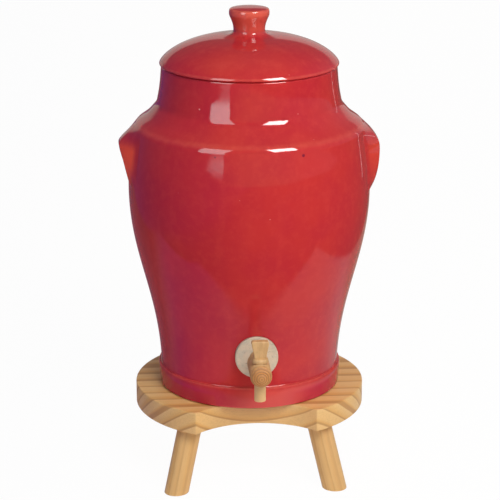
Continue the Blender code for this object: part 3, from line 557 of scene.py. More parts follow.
def lug_zone(turns):
    """Radii and heights of the stretch that carries the lugs, down each of a row of azimuths.

    Down each azimuth the path is a blend of two. The plain one follows the outside of wall and lug.
    The folded one leaves the outside at the hollow's arch, rounds the lip, runs in under it along
    a curve and goes down the wall. The folded path holds in the middle of a lug.
    """
    down = np.linspace(0, 1, 38)[:, None] ** 1.3
    lip = np.linspace(0, 1, 7)[1:, None]
    ceiling = np.linspace(0, 1, 13)[1:, None]
    below = np.linspace(0, 1, 23)[1:, None]
    rows = len(down) + len(lip) + len(ceiling) + len(below)
    zone = np.zeros((rows, len(turns), 2))
    for lug in LUGS.values():
        swing = (turns - lug["turn"] + math.pi) % (2 * math.pi) - math.pi
        near = np.abs(swing) <= math.pi / 2
        sideways = BELLY_RADIUS * swing[near]
        within = np.clip(np.abs(sideways), 0, HOLLOW_SIDES[1]) / HOLLOW_HALF_WIDTH
        crown = SHOULDER_HEIGHT - lug["drop"] - LUG_LIP
        arch = crown - HOLLOW_RISE * (1 - np.sqrt(1 - within**2))
        lip_end = arch - LUG_LIP_STRETCH
        ceiling_end = arch - CEILING_STRETCH
        plain_heights = np.concatenate([
            LUG_TOP + (arch - LUG_TOP) * down,
            arch + (lip_end - arch) * lip,
            lip_end + (ceiling_end - lip_end) * ceiling,
            ceiling_end + (LUG_FOOT - ceiling_end) * below,
        ])
        plain = points_at(lug_outside(lug, sideways, plain_heights), plain_heights)
        lip_start = arch + LUG_LIP_ROUND
        outside_heights = LUG_TOP + (lip_start - LUG_TOP) * down
        outside = points_at(lug_outside(lug, sideways, outside_heights), outside_heights)
        lip_radius = outside[-1, :, 0] - LUG_LIP_ROUND
        lip_turn = lip * math.pi / 2
        lip_arc = points_at(lip_radius, lip_start)
        lip_arc = lip_arc + LUG_LIP_ROUND * points_at(np.cos(lip_turn), -np.sin(lip_turn))
        wall_start = arch - CEILING_DROP
        under = curve(
            points_at(lip_radius, arch),
            points_at(lip_radius - CEILING_REACH, arch + CEILING_RISES[0]),
            points_at(wall_radius(wall_start), arch + CEILING_RISES[1]),
            points_at(wall_radius(wall_start), wall_start),
            len(ceiling) + 1,
        )[1:]
        below_heights = wall_start + (LUG_FOOT - wall_start) * below
        under_wall = points_at(wall_radius(below_heights), below_heights)
        folded = np.concatenate([outside, lip_arc, under, under_wall])
        share = (1 - smooth_step(np.abs(sideways), *HOLLOW_SIDES))[:, None]
        zone[:, near] = share * folded + (1 - share) * plain
    return zone


def pot_turns():
    """Azimuths of the pot's meridians: closer together on the lugs than between them."""
    lug_reach = 1.1 * LUG_HALF_WIDTH / BELLY_RADIUS
    on_lug = np.linspace(-lug_reach, lug_reach, 73)
    between = np.linspace(lug_reach, math.pi - lug_reach, 112)[1:-1]
    return np.concatenate([on_lug, between, math.pi + on_lug, math.pi + between])


def pot_rings():
    """Rings of the pot: floor, inner wall, rim, outer wall with the lugs, groove, band, recess."""
    turns = pot_turns()
    inner = inset(OUTER, WALL)[::-1]
    upright = (inner[:, 1] > FLOOR + FLOOR_ROUND) & (inner[:, 1] < RIM_HEIGHT - RIM_ROUND)
    inner = inner[upright][::5]
    mouth = (RIM_RADIUS - WALL, RIM_HEIGHT)
    rim = (RIM_RADIUS, RIM_HEIGHT)
    floor_arc = rounded((0, FLOOR), (inner[0, 0], FLOOR), inner[0], FLOOR_ROUND, 8)
    inside = joined((POLE, FLOOR), (floor_arc[0, 0] / 2, FLOOR), floor_arc, inner)
    mouth_arc = rounded(inner[-1], mouth, rim, RIM_ROUND, 5)
    rim_arc = rounded(mouth, rim, OUTER[6], RIM_ROUND, 6)
    above = OUTER[(OUTER[:, 1] < rim_arc[-1, 1]) & (OUTER[:, 1] > LUG_TOP + ZONE_MARGINS[1])]
    below = OUTER[OUTER[:, 1] < LUG_FOOT - ZONE_MARGINS[0]]
    band_top = (BAND_RADIUS, BAND_HEIGHT)
    cove = curve(
        below[-1],
        (WAIST_RADIUS, BAND_HEIGHT + COVE_RISE),
        (WAIST_RADIUS + COVE_WIDTH / 4, BAND_HEIGHT),
        (WAIST_RADIUS + COVE_WIDTH, BAND_HEIGHT),
        6,
    )
    # The band's upper edge is sharp, and below it the glaze swells out softly.
    swell = curve(
        (BAND_RADIUS - BAND_SWELL, BAND_HEIGHT),
        (BAND_RADIUS - 0.36 * BAND_SWELL, BAND_HEIGHT - 0.32 * BAND_SWELL_DROP),
        (BAND_RADIUS, BAND_HEIGHT - 0.68 * BAND_SWELL_DROP),
        (BAND_RADIUS, BAND_HEIGHT - BAND_SWELL_DROP),
        8,
    )
    band_foot = (BAND_RADIUS - BAND_LEAN, 0)
    band = joined(swell, rounded(band_top, band_foot, (0, 0), FOOT_ROUND, 6))
    recess_edge = BAND_RADIUS - FOOT_RING
    recess = [(recess_edge, 0), (recess_edge - FOOT_RECESS, FOOT_RECESS), (POLE, FOOT_RECESS)]
    upper = joined(inside, mouth_arc, rim_arc, above)
    lower = joined(below, cove, band, recess)
    profiles = np.concatenate([
        np.repeat(upper[:, None], len(turns), axis=1),
        lug_zone(turns),
        np.repeat(lower[:, None], len(turns), axis=1),
    ])
    radii, heights = profiles[..., 0], profiles[..., 1]
    return points_at(radii * np.cos(turns), AXIS_Y + radii * np.sin(turns), POT_BASE + heights)


def make_pot(glaze):
    """Pot with its lugs, and the tap hole with the cork's taper."""
    through = 2 * CORK_LENGTH
    hole = [(CORK_RADIUS + GAP + CORK_TAPER * along, along) for along in (-through, through)]
    cutter = closed_mesh("tap_hole", turned(hole, 96, TAP_ORIGIN, TAP_LINE))
    pot = carved(closed_mesh("glazed_pot", pot_rings()), [cutter])
    show("glazed_pot", pot, glaze, "crock", "crock_body")


def dome_height(radius):
    """Top of the lid's dome above its seat: rise * (1 - (r/R)^p)^q, steep at its edge."""
    share = np.clip(radius / LID_RADIUS, 0, 1)
    return LID_LIP + LID_DOME_RISE * (1 - share**LID_DOME_POWER) ** LID_DOME_FULLNESS


def make_lid(glaze):
    """Lid with its knob, rounded lip, locating ring and hollow underside."""
    waist_height = dome_height(0) + KNOB_WAIST_RISE
    side_height = waist_height + KNOB_SIDE_RISE
    edge_height = side_height + KNOB_EDGE
    edge_radius = KNOB_RADIUS - 0.3 * KNOB_EDGE
    foot_radius = KNOB_WAIST_RADIUS + KNOB_FLARE
    crown = curve(
        (POLE, edge_height + KNOB_CROWN),
        (0.5 * edge_radius, edge_height + KNOB_CROWN),
        (0.8 * edge_radius, edge_height + 0.6 * KNOB_CROWN),
        (edge_radius, edge_height),
        12,
    )
    edge = curve(
        (edge_radius, edge_height),
        (KNOB_RADIUS, edge_height - 0.1 * KNOB_EDGE),
        (KNOB_RADIUS, side_height + 0.55 * KNOB_EDGE),
        (KNOB_RADIUS, side_height),
        14,
    )
    flank = curve(
        (KNOB_RADIUS, side_height),
        (KNOB_RADIUS, side_height - 0.2 * KNOB_SIDE_RISE),
        (KNOB_WAIST_RADIUS, waist_height + 0.5 * KNOB_SIDE_RISE),
        (KNOB_WAIST_RADIUS, waist_height),
        18,
    )
    flare = curve(
        (KNOB_WAIST_RADIUS, waist_height),
        (KNOB_WAIST_RADIUS, waist_height - 0.7 * KNOB_WAIST_RISE),
        (KNOB_WAIST_RADIUS + 0.35 * KNOB_FLARE, dome_height(0)),
        (foot_radius, dome_height(foot_radius)),
        18,
    )
    share = 1 - (1 - np.linspace(0, 1, 48)) ** 1.6
    dome_radius = foot_radius + (LID_RADIUS - foot_radius) * share
    dome = points_at(dome_radius, dome_height(dome_radius))
    lip = rounded(dome[-1], (LID_RADIUS, 0), (LID_RING_RADIUS, 0), 0.9 * LID_LIP, 6)
    ring_inner = LID_RING_RADIUS - LID_RING_WIDTH
    root = (LID_RING_RADIUS, 0)
    outer_corner = (LID_RING_RADIUS, -LID_RING_DEPTH)
    inner_corner = (ring_inner, -LID_RING_DEPTH)
    ring = joined(
        rounded(lip[-1], root, outer_corner, LID_RING_ROOT, 4),
        rounded(root, outer_corner, inner_corner, LID_RING_ROUND, 5),
        rounded(outer_corner, inner_corner, (ring_inner, 0), LID_RING_ROUND, 5),
    )
    hollow_radius = np.linspace(ring_inner, POLE, 20)
    hollow = points_at(hollow_radius, dome_height(hollow_radius) - LID_THICKNESS)
    profile = joined(crown, edge, flank, flare, dome, lip, ring, hollow)
    lid = closed_mesh("glazed_lid", turned(profile, 288, (0, AXIS_Y, LID_SEAT)))
    show("glazed_lid", lid, glaze, "lid", "lid")


def make_cork(finish):
    """Tapered bung round the barrel's tail, with eased edges."""
    hole = TAIL_RADIUS + GAP
    inner_radius = CORK_RADIUS - CORK_TAPER * CORK_LENGTH
    face = (CORK_RADIUS, 0)
    end = (inner_radius, -CORK_LENGTH)
    profile = joined(
        points_at(np.linspace(hole, CORK_RADIUS - CORK_EDGE, 10), 0),
        rounded((hole, 0), face, end, CORK_EDGE, 6),
        rounded(face, end, (hole, -CORK_LENGTH), CORK_EDGE, 5),
        (hole, -CORK_LENGTH),
    )
    bung = closed_mesh("cork_bung", turned(profile, 128, TAP_ORIGIN, TAP_LINE), loop=True)
    show("cork_bung", bung, finish, "crock", "tap_cork")


def turned_ring(middle):
    """Round-bottomed ring cut round the barrel: a cosine dip, RING_DEPTH deep."""
    along = np.linspace(1, -1, 9)
    depth = RING_DEPTH * (1 + np.cos(math.pi * along)) / 2
    return points_at(BARREL_RADIUS - depth, middle + 1.3 * RING_DEPTH * along)


def make_barrel(finish):
    """Turned barrel with its ringed nose, bore, tapered key seat and the flat for the collar."""
    nose_end = KEY_OFFSET + NOSE_LENGTH
    swell_start = BARREL_NECK + BARREL_SWELL
    button = 0.42 * BARREL_RADIUS
    tail_end = -CORK_LENGTH - TAIL_BEYOND_CORK
    dome = curve(
        (POLE, nose_end),
        (0.5 * button, nose_end),
        (0.8 * button, nose_end - 0.3 * RING_DEPTH),
        (button, nose_end - RING_DEPTH),
        8,
    )
    nose = curve(
        (button, nose_end - 2 * RING_DEPTH),
        (0.8 * BARREL_RADIUS, nose_end - 2.2 * RING_DEPTH),
        (BARREL_RADIUS, nose_end - 0.4 * NOSE_ROUND),
        (BARREL_RADIUS, nose_end - NOSE_ROUND),
        36,
    )
    # Three rings are cut into the rounded nose, each a dip of 0.7 * depth * exp(-(s/spread)^2).
    along_nose = np.linspace(0, 1, 36)
    for place in NOSE_RINGS:
        dip = RING_DEPTH * 0.7 * np.exp(-(((along_nose - place) / NOSE_RING_SPREAD) ** 2))
        nose -= dip[:, None] / math.sqrt(2)
    swell = curve(
        (BARREL_RADIUS, swell_start),
        (BARREL_RADIUS, swell_start - 0.5 * BARREL_SWELL),
        (TAIL_RADIUS + BARREL_FLARE, BARREL_NECK + 0.2 * BARREL_SWELL),
        (TAIL_RADIUS, BARREL_NECK),
        14,
    )
    profile = joined(
        dome,
        nose,
        turned_ring((KEY_OFFSET + COLLAR_RADIUS + nose_end - NOSE_ROUND) / 2),
        turned_ring((KEY_OFFSET - COLLAR_RADIUS + swell_start) / 2),
        swell,
        (TAIL_RADIUS, tail_end + RING_DEPTH),
        (TAIL_RADIUS - RING_DEPTH, tail_end),
        (POLE, tail_end),
    )
    barrel = closed_mesh("turned_barrel", turned(profile, 96, TAP_ORIGIN, TAP_LINE))
    bore = [(BORE_RADIUS, tail_end - WALL), (BORE_RADIUS, KEY_OFFSET)]
    flat = [(COLLAR_RADIUS + GAP, COLLAR_SEAT), (COLLAR_RADIUS + GAP, COLLAR_SEAT + BARREL_RADIUS)]
    cutters = [
        closed_mesh("bore", turned(bore, 32, TAP_ORIGIN, TAP_LINE)),
        closed_mesh("seat", turned(key_taper(2 * BARREL_RADIUS, GAP), 64, KEY_ORIGIN)),
        closed_mesh("flat", turned(flat, 64, KEY_ORIGIN)),
    ]
    show("turned_barrel", carved(barrel, cutters), finish, "crock", "tap_barrel")


def key_radius(height):
    """Radius of the key's tapered plug at a height above the barrel's axis."""
    way_down = (COLLAR_SEAT - height) / (COLLAR_SEAT + BARREL_RADIUS)
    return KEY_RADIUS + (SPOUT_RADIUS - KEY_RADIUS) * way_down


def key_taper(reach, clearance):
    """Profile of the plug's cone, made wider by a clearance, this far above and below the axis."""
    return [(key_radius(height) + clearance, height) for height in (-reach, reach)]


def paddle_mesh(foot):
    """Paddle: an outline that leans out from a narrow foot, swept through its thickness.

    The first and last slices are the outline drawn in square to its edge, in quarter rounds.
    """
    top = foot + PADDLE_HEIGHT
    bottom = foot - 0.6 * COLLAR_HEIGHT  # inside the collar
    half_foot = PADDLE_FOOT_WIDTH / 2
    half_top = PADDLE_TOP_WIDTH / 2
    side = curve(
        (half_foot, bottom),
        (half_foot, foot + 0.35 * PADDLE_HEIGHT),
        (half_top - 0.1 * (half_top - half_foot), foot + 0.6 * PADDLE_HEIGHT),
        (half_top, top - PADDLE_CORNER),
        20,
    )
    foot_corner = rounded((0, bottom), side[0], side[3], PADDLE_CORNER, 8)
    corner = rounded(side[-2], (half_top, top), (0, top), PADDLE_CORNER, 8)
    between = (side[:, 1] > foot_corner[-1, 1]) & (side[:, 1] < corner[0, 1])
    right = joined(foot_corner, side[between], corner)
    outline = np.concatenate([right, right[::-1] * (-1, 1)])
    slices, depths = plate_edge(outline, PADDLE_THICKNESS, PADDLE_EDGE, 6)
    rings = points_at(slices[..., 0], depths - PADDLE_THICKNESS / 2, slices[..., 1])
    return closed_mesh("paddle", rings + KEY_ORIGIN)


def make_key(finish):
    """Key: spout, tapered plug and collar turned in one with the paddle, bored from below."""
    collar_foot = COLLAR_SEAT + GAP
    collar_top = collar_foot + COLLAR_HEIGHT
    spout_end = -BARREL_RADIUS - SPOUT_LENGTH
    collar = curve(
        (0.5 * PADDLE_FOOT_WIDTH, collar_top),
        (COLLAR_RADIUS, collar_top - 0.1 * COLLAR_HEIGHT),
        (COLLAR_RADIUS, collar_foot + 0.5 * COLLAR_HEIGHT),
        (COLLAR_RADIUS, collar_foot + 0.15 * COLLAR_HEIGHT),
        16,
    )
    profile = joined(
        (POLE, collar_top),
        collar,
        (COLLAR_RADIUS - 0.15 * COLLAR_HEIGHT, collar_foot),
        (key_radius(collar_foot), collar_foot),
        (SPOUT_RADIUS, -BARREL_RADIUS),
        rounded((SPOUT_RADIUS, 0), (SPOUT_RADIUS, spout_end), (0, spout_end), SPOUT_EDGE, 5),
        (POLE, spout_end),
    )
    plug = closed_mesh("turned_key", turned(profile, 96, KEY_ORIGIN))
    bore = [(SPOUT_BORE_RADIUS, 2 * spout_end), (SPOUT_BORE_RADIUS, BORE_RADIUS)]
    port = [(SPOUT_BORE_RADIUS, 0), (SPOUT_BORE_RADIUS, 2 * KEY_RADIUS)]
    cutters = [
        closed_mesh("spout_bore", turned(bore, 32, KEY_ORIGIN)),
        closed_mesh("port", turned(port, 32, KEY_ORIGIN, (1, 0, 0), (0, 1, 0))),
    ]
    key = carved(plug, cutters, [paddle_mesh(collar_top)])
    show("turned_key", key, finish, "key", "tap_key")


def notch_corner():
    """Distance to the notch's centre, and the turn to its corner, where the two circles cross."""
    centre = BOARD_RADIUS - NOTCH_DEPTH + NOTCH_RADIUS
    reach = (centre**2 + BOARD_RADIUS**2 - NOTCH_RADIUS**2) / (2 * centre)
    return centre, math.acos(reach / BOARD_RADIUS)


def board_outline():
    """Plan of the board about the crock's axis: a round edge, two corners and the round notch."""
    notch_centre, corner_turn = notch_corner()
    notch_turn = math.asin(BOARD_RADIUS * math.sin(corner_turn) / NOTCH_RADIUS)
    edge_turn = np.linspace(corner_turn, 2 * math.pi - corner_turn, 300)
    edge = BOARD_RADIUS * points_at(np.sin(edge_turn), -np.cos(edge_turn))
    hollow_turn = np.linspace(-notch_turn, notch_turn, 90)
    hollow = NOTCH_RADIUS * points_at(np.sin(hollow_turn), np.cos(hollow_turn)) - (0, notch_centre)
    right = rounded(hollow[-6], edge[0], edge[6], NOTCH_CORNER, 7)
    left = rounded(edge[-7], edge[-1], hollow[5], NOTCH_CORNER, 7)
    return joined(edge[2:-2], left, hollow[2:-2], right)


def leg_places():
    """Name, origin halfway up the board, direction down and side of each leg.

    A front leg stands just behind a corner of the notch.
    """
    reach = BOARD_RADIUS - LEG_EDGE_MARGIN
    front_turn = notch_corner()[1] + math.asin(LEG_CORNER_MARGIN / reach)
    turns = {"left": -front_turn, "right": front_turn, "back": math.pi}
    for name, turn in turns.items():
        outwards = np.array([math.sin(turn), -math.cos(turn), 0])
        side = np.array([-math.cos(turn), -math.sin(turn), 0])
        origin = reach * outwards + (0, AXIS_Y, BOARD_TOP - BOARD_THICKNESS / 2)
        downwards = outwards * math.sin(LEG_SPLAY) - np.array((0, 0, math.cos(LEG_SPLAY)))
        yield name, origin, downwards, side


def leg_top():
    """Length of leg above the board's half height, with its upper edge below the surface."""
    room = BOARD_THICKNESS / 2 - SOCKET_ROOF - (LEG_RADIUS + GAP) * math.sin(LEG_SPLAY)
    return room / math.cos(LEG_SPLAY)


def make_board(finish):
    """Board: flat faces, rounded edges and blind slanted sockets for the legs."""
    rim, drop = plate_edge(board_outline(), BOARD_THICKNESS, BOARD_EDGE, 5)
    middle = (0, BOARD_RADIUS / 2 - NOTCH_DEPTH)
    # The faces are rings that shrink towards the middle, down to a fiftieth of the outline.
    shares = np.linspace(0.02, 1, 14)[:-1, None, None]
    face = middle + shares * (rim[0] - middle)
    plan = np.concatenate([face, rim, face[::-1]])
    drop = np.pad(drop, ((len(face), len(face)), (0, 0)), "edge")
    rings = points_at(plan[..., 0], AXIS_Y + plan[..., 1], BOARD_TOP - drop)
    hole = [(LEG_RADIUS + GAP, -leg_top()), (LEG_RADIUS + GAP, BOARD_TOP)]
    sockets = [
        closed_mesh("socket_" + name, turned(hole, 64, *place)) for name, *place in leg_places()
    ]
    board = carved(closed_mesh("pine_board", rings), sockets)
    show("pine_board", board, finish, "stand", "stand_board", sharp=50)


def make_legs():
    """Dowel legs: rings along a slanted axis, the last one slid along it to the floor.

    Each has a finish of its own, whose grain runs along it.
    """
    start = -leg_top() + GAP
    profile = [(POLE, start), (LEG_RADIUS - LEG_EDGE, start), (LEG_RADIUS, start + LEG_EDGE)]
    lengths = np.linspace(start + 2 * LEG_EDGE, BOARD_TOP / 2, 8)
    profile += [(LEG_RADIUS, length) for length in lengths]
    feet = ((LEG_RADIUS, LEG_FOOT_EDGE), (LEG_RADIUS - LEG_FOOT_EDGE, 0.0), (POLE, 0.0))
    for seed, (name, origin, downwards, side) in enumerate(leg_places()):
        rings = turned(profile, 72, origin, downwards, side)
        last = rings[-1]
        centre = last.mean(axis=0)
        slide = -downwards / downwards[2]
        ends = []
        for radius, height in feet:
            ring = centre + (last - centre) * radius / LEG_RADIUS
            ends.append(ring + (ring[:, 2:] - height) * slide)
        turn = Vector(downwards).rotation_difference(Vector((1, 0, 0))).to_euler()
        leg_name = "pine_leg_" + name
        finish = pine(leg_name, origin, turn, LEG_RING_WIDTH, LEG_PITH_DEPTH, seed, LEG_FIGURE)
        leg = closed_mesh(leg_name, np.concatenate([rings, ends]))
        node = "leg_back" if name == "back" else "leg_front_" + name
        show(leg_name, leg, finish, "stand", node)


class Wire:
    """An output socket in sums: each operator adds the Math node that works it out."""

    def __init__(self, nodes, socket):
        self.nodes = nodes
        self.socket = socket

    def math(self, operation, *inputs):
        return self.nodes.add("ShaderNodeMath", {"operation": operation}, dict(enumerate(inputs)))

    def __add__(self, other):
        return self.math("ADD", self, other)

    def __sub__(self, other):
        return self.math("SUBTRACT", self, other)

    def __rsub__(self, other):
        return self.math("SUBTRACT", other, self)

    def __mul__(self, other):
        return self.math("MULTIPLY", self, other)

    def __truediv__(self, other):
        return self.math("DIVIDE", self, other)

    def __pow__(self, other):
        return self.math("POWER", self, other)

    def __abs__(self):
        return self.math("ABSOLUTE", self)

    __radd__ = __add__
    __rmul__ = __mul__

    def root(self):
        return self.math("SQRT", self)

    def fraction(self):
        return self.math("FRACT", self)

    def step(self, low, high):
        """Smooth step from 0 at low to 1 at high, either of which may be the larger."""
        settings = {"interpolation_type": "SMOOTHSTEP"}
        if low < high:
            return self.nodes.add("ShaderNodeMapRange", settings, {0: self, 1: low, 2: high})
        return 1 - self.nodes.add("ShaderNodeMapRange", settings, {0: self, 1: high, 2: low})

    def bump(self, middle, width):
        """1 at a middle value, falling smoothly to 0 a width away on both sides."""
        return abs(self - middle).step(width, 0)


class Nodes:
    """A node tree being filled."""

    def __init__(self, tree):
        self.tree = tree

    def add(self, kind, settings=None, inputs=None, output=0):
        """Adds a node, gives it its settings, then the values or links of its sockets."""
        node = self.tree.nodes.new(kind)
        for name, value in (settings or {}).items():
            if name == "stops":
                self.set_stops(node.color_ramp, value)
            else:
                setattr(node, name, value)
        for name, value in (inputs or {}).items():
            self.connect(node.inputs[name], value)
        return Wire(self, node.outputs[output])

    def connect(self, socket, value):
        """Links a wire to a socket, or sets the socket's own value."""
        if isinstance(value, Wire):
            self.tree.links.new(value.socket, socket)
        elif socket.type == "RGBA" and len(value) == 3:
            socket.default_value = (*value, 1)
        else:
            socket.default_value = value

    def set_stops(self, ramp, stops):
        """Stops of a colour ramp, as pairs of a position and a colour."""
        while len(ramp.elements) < len(stops):
            ramp.elements.new(1)
        for element, (position, colour) in zip(ramp.elements, stops):
            element.position = position
            element.color = (*colour, 1)

    def mix(self, share, first, second):
        """Colour between two others."""
        inputs = {"Factor": share, 6: first, 7: second}
        return self.add("ShaderNodeMix", {"data_type": "RGBA"}, inputs, 2)

    def layered(self, colour, *layers):
        """A colour with others laid over it in turn, each given as a share and a colour."""
        for share, other in layers:
            colour = self.mix(share, colour, other)
        return colour

    def noise(self, place, scale, detail=2, roughness=0.5):
        inputs = {"Vector": place, "Scale": scale, "Detail": detail, "Roughness": roughness}
        return self.add("ShaderNodeTexNoise", {}, inputs)

    def cells(self, place, scale, output="Distance"):
        return self.add("ShaderNodeTexVoronoi", {}, {"Vector": place, "Scale": scale}, output)

    def moved(self, place, location=(0, 0, 0), turn=(0, 0, 0), scale=(1, 1, 1)):
        """A place moved so that a location becomes the origin, then turned, then stretched."""
        kind = "ShaderNodeVectorMath"
        shifted = self.add(kind, {"operation": "SUBTRACT"}, {0: place, 1: location})
        turned_place = self.add("ShaderNodeMapping", {}, {"Vector": shifted, "Rotation": turn})
        return self.add(kind, {"operation": "MULTIPLY"}, {0: turned_place, 1: scale})

    def parts(self, place):
        """The X, Y and Z of a place."""
        split = self.add("ShaderNodeSeparateXYZ", {}, {0: place})
        return [Wire(self, output) for output in split.socket.node.outputs]

    def rays(self, *kinds):
        """1 for a ray of each of these kinds, such as Camera, and 0 for any other."""
        path = self.add("ShaderNodeLightPath").socket.node
        return [Wire(self, path.outputs[f"Is {kind} Ray"]) for kind in kinds]


class Finish(Nodes):
    """A material's nodes, with the place on the object and the shader that they feed."""

    def __init__(self, name, **fixed):
        self.material = bpy.data.materials.new(name)
        self.material.use_nodes = True
        super().__init__(self.material.node_tree)
        self.shader = self.tree.nodes["Principled BSDF"]
        self.place = self.add("ShaderNodeTexCoord", output="Object")
        self.feed(**fixed)

    def feed(self, **inputs):
        """Values or wires for the shader's sockets, named with underscores for spaces."""
        for name, value in inputs.items():
            self.connect(self.shader.inputs[name.replace("_", " ")], value)

    def relief(self, height, distance, strength, under=None):
        """Normal bent by a height, on top of another one."""
        inputs = {"Height": height, "Distance": distance, "Strength": strength}
        if under:
            inputs["Normal"] = under
        return self.add("ShaderNodeBump", {}, inputs)


def red_glaze():
    """Thick red glaze: thinner and more orange on edges, with faint mottling and pinholes, painted
    light on the lugs, and a painted reflection and painted shade on the band.
    """
    glaze = Finish("red_glaze")
    x, y, z = glaze.parts(glaze.place)
    reach = (x**2 + (y - AXIS_Y) ** 2).root()
    height = z - POT_BASE
    cloud = glaze.noise(glaze.place, 18, 3)
    mottle = glaze.noise(glaze.place, 160, 3, 0.6)
    streaks = glaze.noise(glaze.moved(glaze.place, scale=(1, 1, 0.12)), 90)
    ridges = sum(height.bump(middle, width) * share for middle, width, share in THIN_RIDGES)
    above_rim = height - RIM_HEIGHT
    knob_edge = above_rim.step(42 * MM, 45 * MM) * reach.bump(16.4 * MM, 1.8 * MM)
    knob = above_rim.step(25 * MM, 33 * MM) * above_rim.step(48.5 * MM, 46.5 * MM)
    thin = (ridges + knob_edge) * (0.6 + 0.4 * mottle.step(0.3, 0.6)) + knob * 0.7
    above_belly = height - BELLY_HEIGHT
    beyond_wall = reach + DRAW_IN * above_belly**2 - BELLY_RADIUS
    # Painted light: the lugs' faces are made brighter and more orange, the left lug's most, as light
    # from the left falls on it; part of the orange is thin glaze.
    lugs = beyond_wall.step(0.3 * MM, 3 * MM) * above_belly.step(0, 6 * MM)
    lugs = lugs * above_belly.step(SHOULDER_RISE - 8 * MM, SHOULDER_RISE - 20 * MM)
    lugs = lugs * (0.7 + 0.3 * cloud.step(0.35, 0.65))
    lugs = lugs * (1 - 0.7 * x.step(-BELLY_RADIUS, BELLY_RADIUS))
    below_edge = BAND_HEIGHT - height
    # Painted reflection: the band's front, under the tap, is made lighter as if it mirrored the pale
    # board and floor.
    band_painted_reflection = below_edge.step(-2 * MM, 6 * MM) * x.step(-30 * MM, 0) * x.step(75 * MM, 40 * MM)
    # Painted shade: the lower band is made darker and more purple towards its left and right sides.
    band_painted_shade = below_edge.step(2 * MM, 9 * MM) * abs(x).step(20 * MM, 60 * MM)
    pinholes = glaze.cells(glaze.place, 62).step(0.022, 0.010)
    pinholes = pinholes * glaze.noise(glaze.place, 21, 0).step(0.52, 0.54)
    colour = glaze.layered(
        DEEP_RED,
        (cloud.step(0.35, 0.7), CLOUD_RED),
        (mottle.step(0.4, 0.75) * 0.35 + streaks.step(0.5, 0.8) * 0.25, MOTTLE_RED),
        (glaze.add("ShaderNodeClamp", {}, {0: thin}), THIN_RED),
        (lugs, LUG_PAINTED_LIGHT),
        (band_painted_reflection * 0.8, BAND_PAINTED_REFLECTION),
        (band_painted_shade * 0.8, BAND_PAINTED_SHADE),
        (pinholes, PINHOLE_PINK),
    )
    for across, up, size, speck in SPECKS:
        off_centre = ((x - across) ** 2 + (z - up) ** 2).root()
        spot = off_centre.step(size, 0.6 * size) * y.step(AXIS_Y, AXIS_Y - 10 * MM)
        colour = glaze.mix(spot, colour, speck)
    glaze.feed(Base_Color=colour, Roughness=0.03 + 0.05 * mottle.step(0.5, 0.8))
    waves = glaze.relief(glaze.noise(glaze.place, 26, 1), 0.9 * MM, 0.35)
    grain = glaze.relief(glaze.noise(glaze.place, 240, 2), 0.05 * MM, 0.5, waves)
    glaze.feed(Normal=glaze.relief(pinholes, 0.2 * MM, -0.5, grain))
    return glaze.material


def pine(name, location, turn, ring_width, pith_depth, seed, figure=1.0):
    """Varnished pine. In its own axes the grain runs along X and the rings lie across Z.

    A ring's place is the distance from the pith, bent by slow noise along the grain, and its colour
    goes slowly from pale early wood to amber late wood and sharply back. The rings are unlike in
    width, and the figure says how strongly they show.
    """
    wood = Finish(name, Coat_Weight=0.15, Coat_Roughness=0.2)
    place = wood.moved(wood.place, location, turn)
    y, z = wood.parts(place)[1:]
    bend = wood.noise(wood.moved(place, (seed, 0, 0), scale=(0.35, 1, 1)), 14) - 0.5
    depth = (y**2 * 0.35 + (z + pith_depth) ** 2).root() + bend * 6 * MM
    along_depth = {"W": depth * 38 + seed, "Detail": 0}
    unlike = wood.add("ShaderNodeTexNoise", {"noise_dimensions": "1D"}, along_depth)
    ring = (depth / ring_width + unlike * 0.5 + seed).fraction()
    fibres = wood.noise(wood.moved(place, scale=(0.04, 1, 1)), 900, 3, 0.6)
    pores = wood.noise(wood.moved(place, (0, seed, 0), scale=(0.05, 1, 1)), 2600, 1)
    tone = wood.noise(place, 9, 1)
    colour = wood.layered(
        PINE,
        (figure, wood.add("ShaderNodeValToRGB", {"stops": PINE_RING}, {0: ring})),
        (fibres.step(0.35, 0.75) * 0.35, PINE_FIBRE),
        (pores.step(0.62, 0.75) * 0.25, PINE_PORE),
        (tone.step(0.45, 0.75) * 0.2, PINE_PALE),
    )
    wood.feed(Base_Color=colour, Roughness=0.42 + 0.12 * fibres)
    wood.feed(Normal=wood.relief(fibres + ring.step(0.7, 0.95) * 0.5, 0.08 * MM, 0.6))
    return wood.material


def tap_wood():
    """Bare turned hardwood: fine fibres along the tap, darker end grain, and painted light that makes
    the spout paler.
    """
    wood = Finish("tap_wood")
    x, y, z = wood.parts(wood.place)
    grain = wood.moved(wood.place, scale=(1, 0.12, 0.3))
    fibres = wood.noise(grain, 1500, 3, 0.6)
    bands = wood.noise(grain, 260)
    # The nose shows end grain, which is darker and browner, in rings about the barrel's axis.
    up = z - TAP_HEIGHT
    nose = (KEY_Y - y).step(8 * MM, 17 * MM) * abs(up).step(10 * MM, 9 * MM)
    spoke = (x**2 + up**2).root()
    end_rings = (spoke / (1.9 * MM) + bands * 0.6).fraction().bump(0.5, 0.5)
    colour = wood.layered(
        TAP_PALE,
        (bands.step(0.35, 0.7), TAP_BAND),
        (fibres.step(0.5, 0.8) * 0.5, TAP_FIBRE),
        (nose * 0.8, wood.mix(end_rings, END_GRAIN_PALE, END_GRAIN_DARK)),
        # Painted light: the spout, shaded by the barrel above it, is made paler.
        (up.step(-9 * MM, -11 * MM) * 0.8, SPOUT_PAINTED_LIGHT),
    )
    wood.feed(Base_Color=colour, Roughness=0.5 + 0.15 * fibres)
    wood.feed(Normal=wood.relief(fibres, 0.06 * MM, 0.7))
    return wood.material


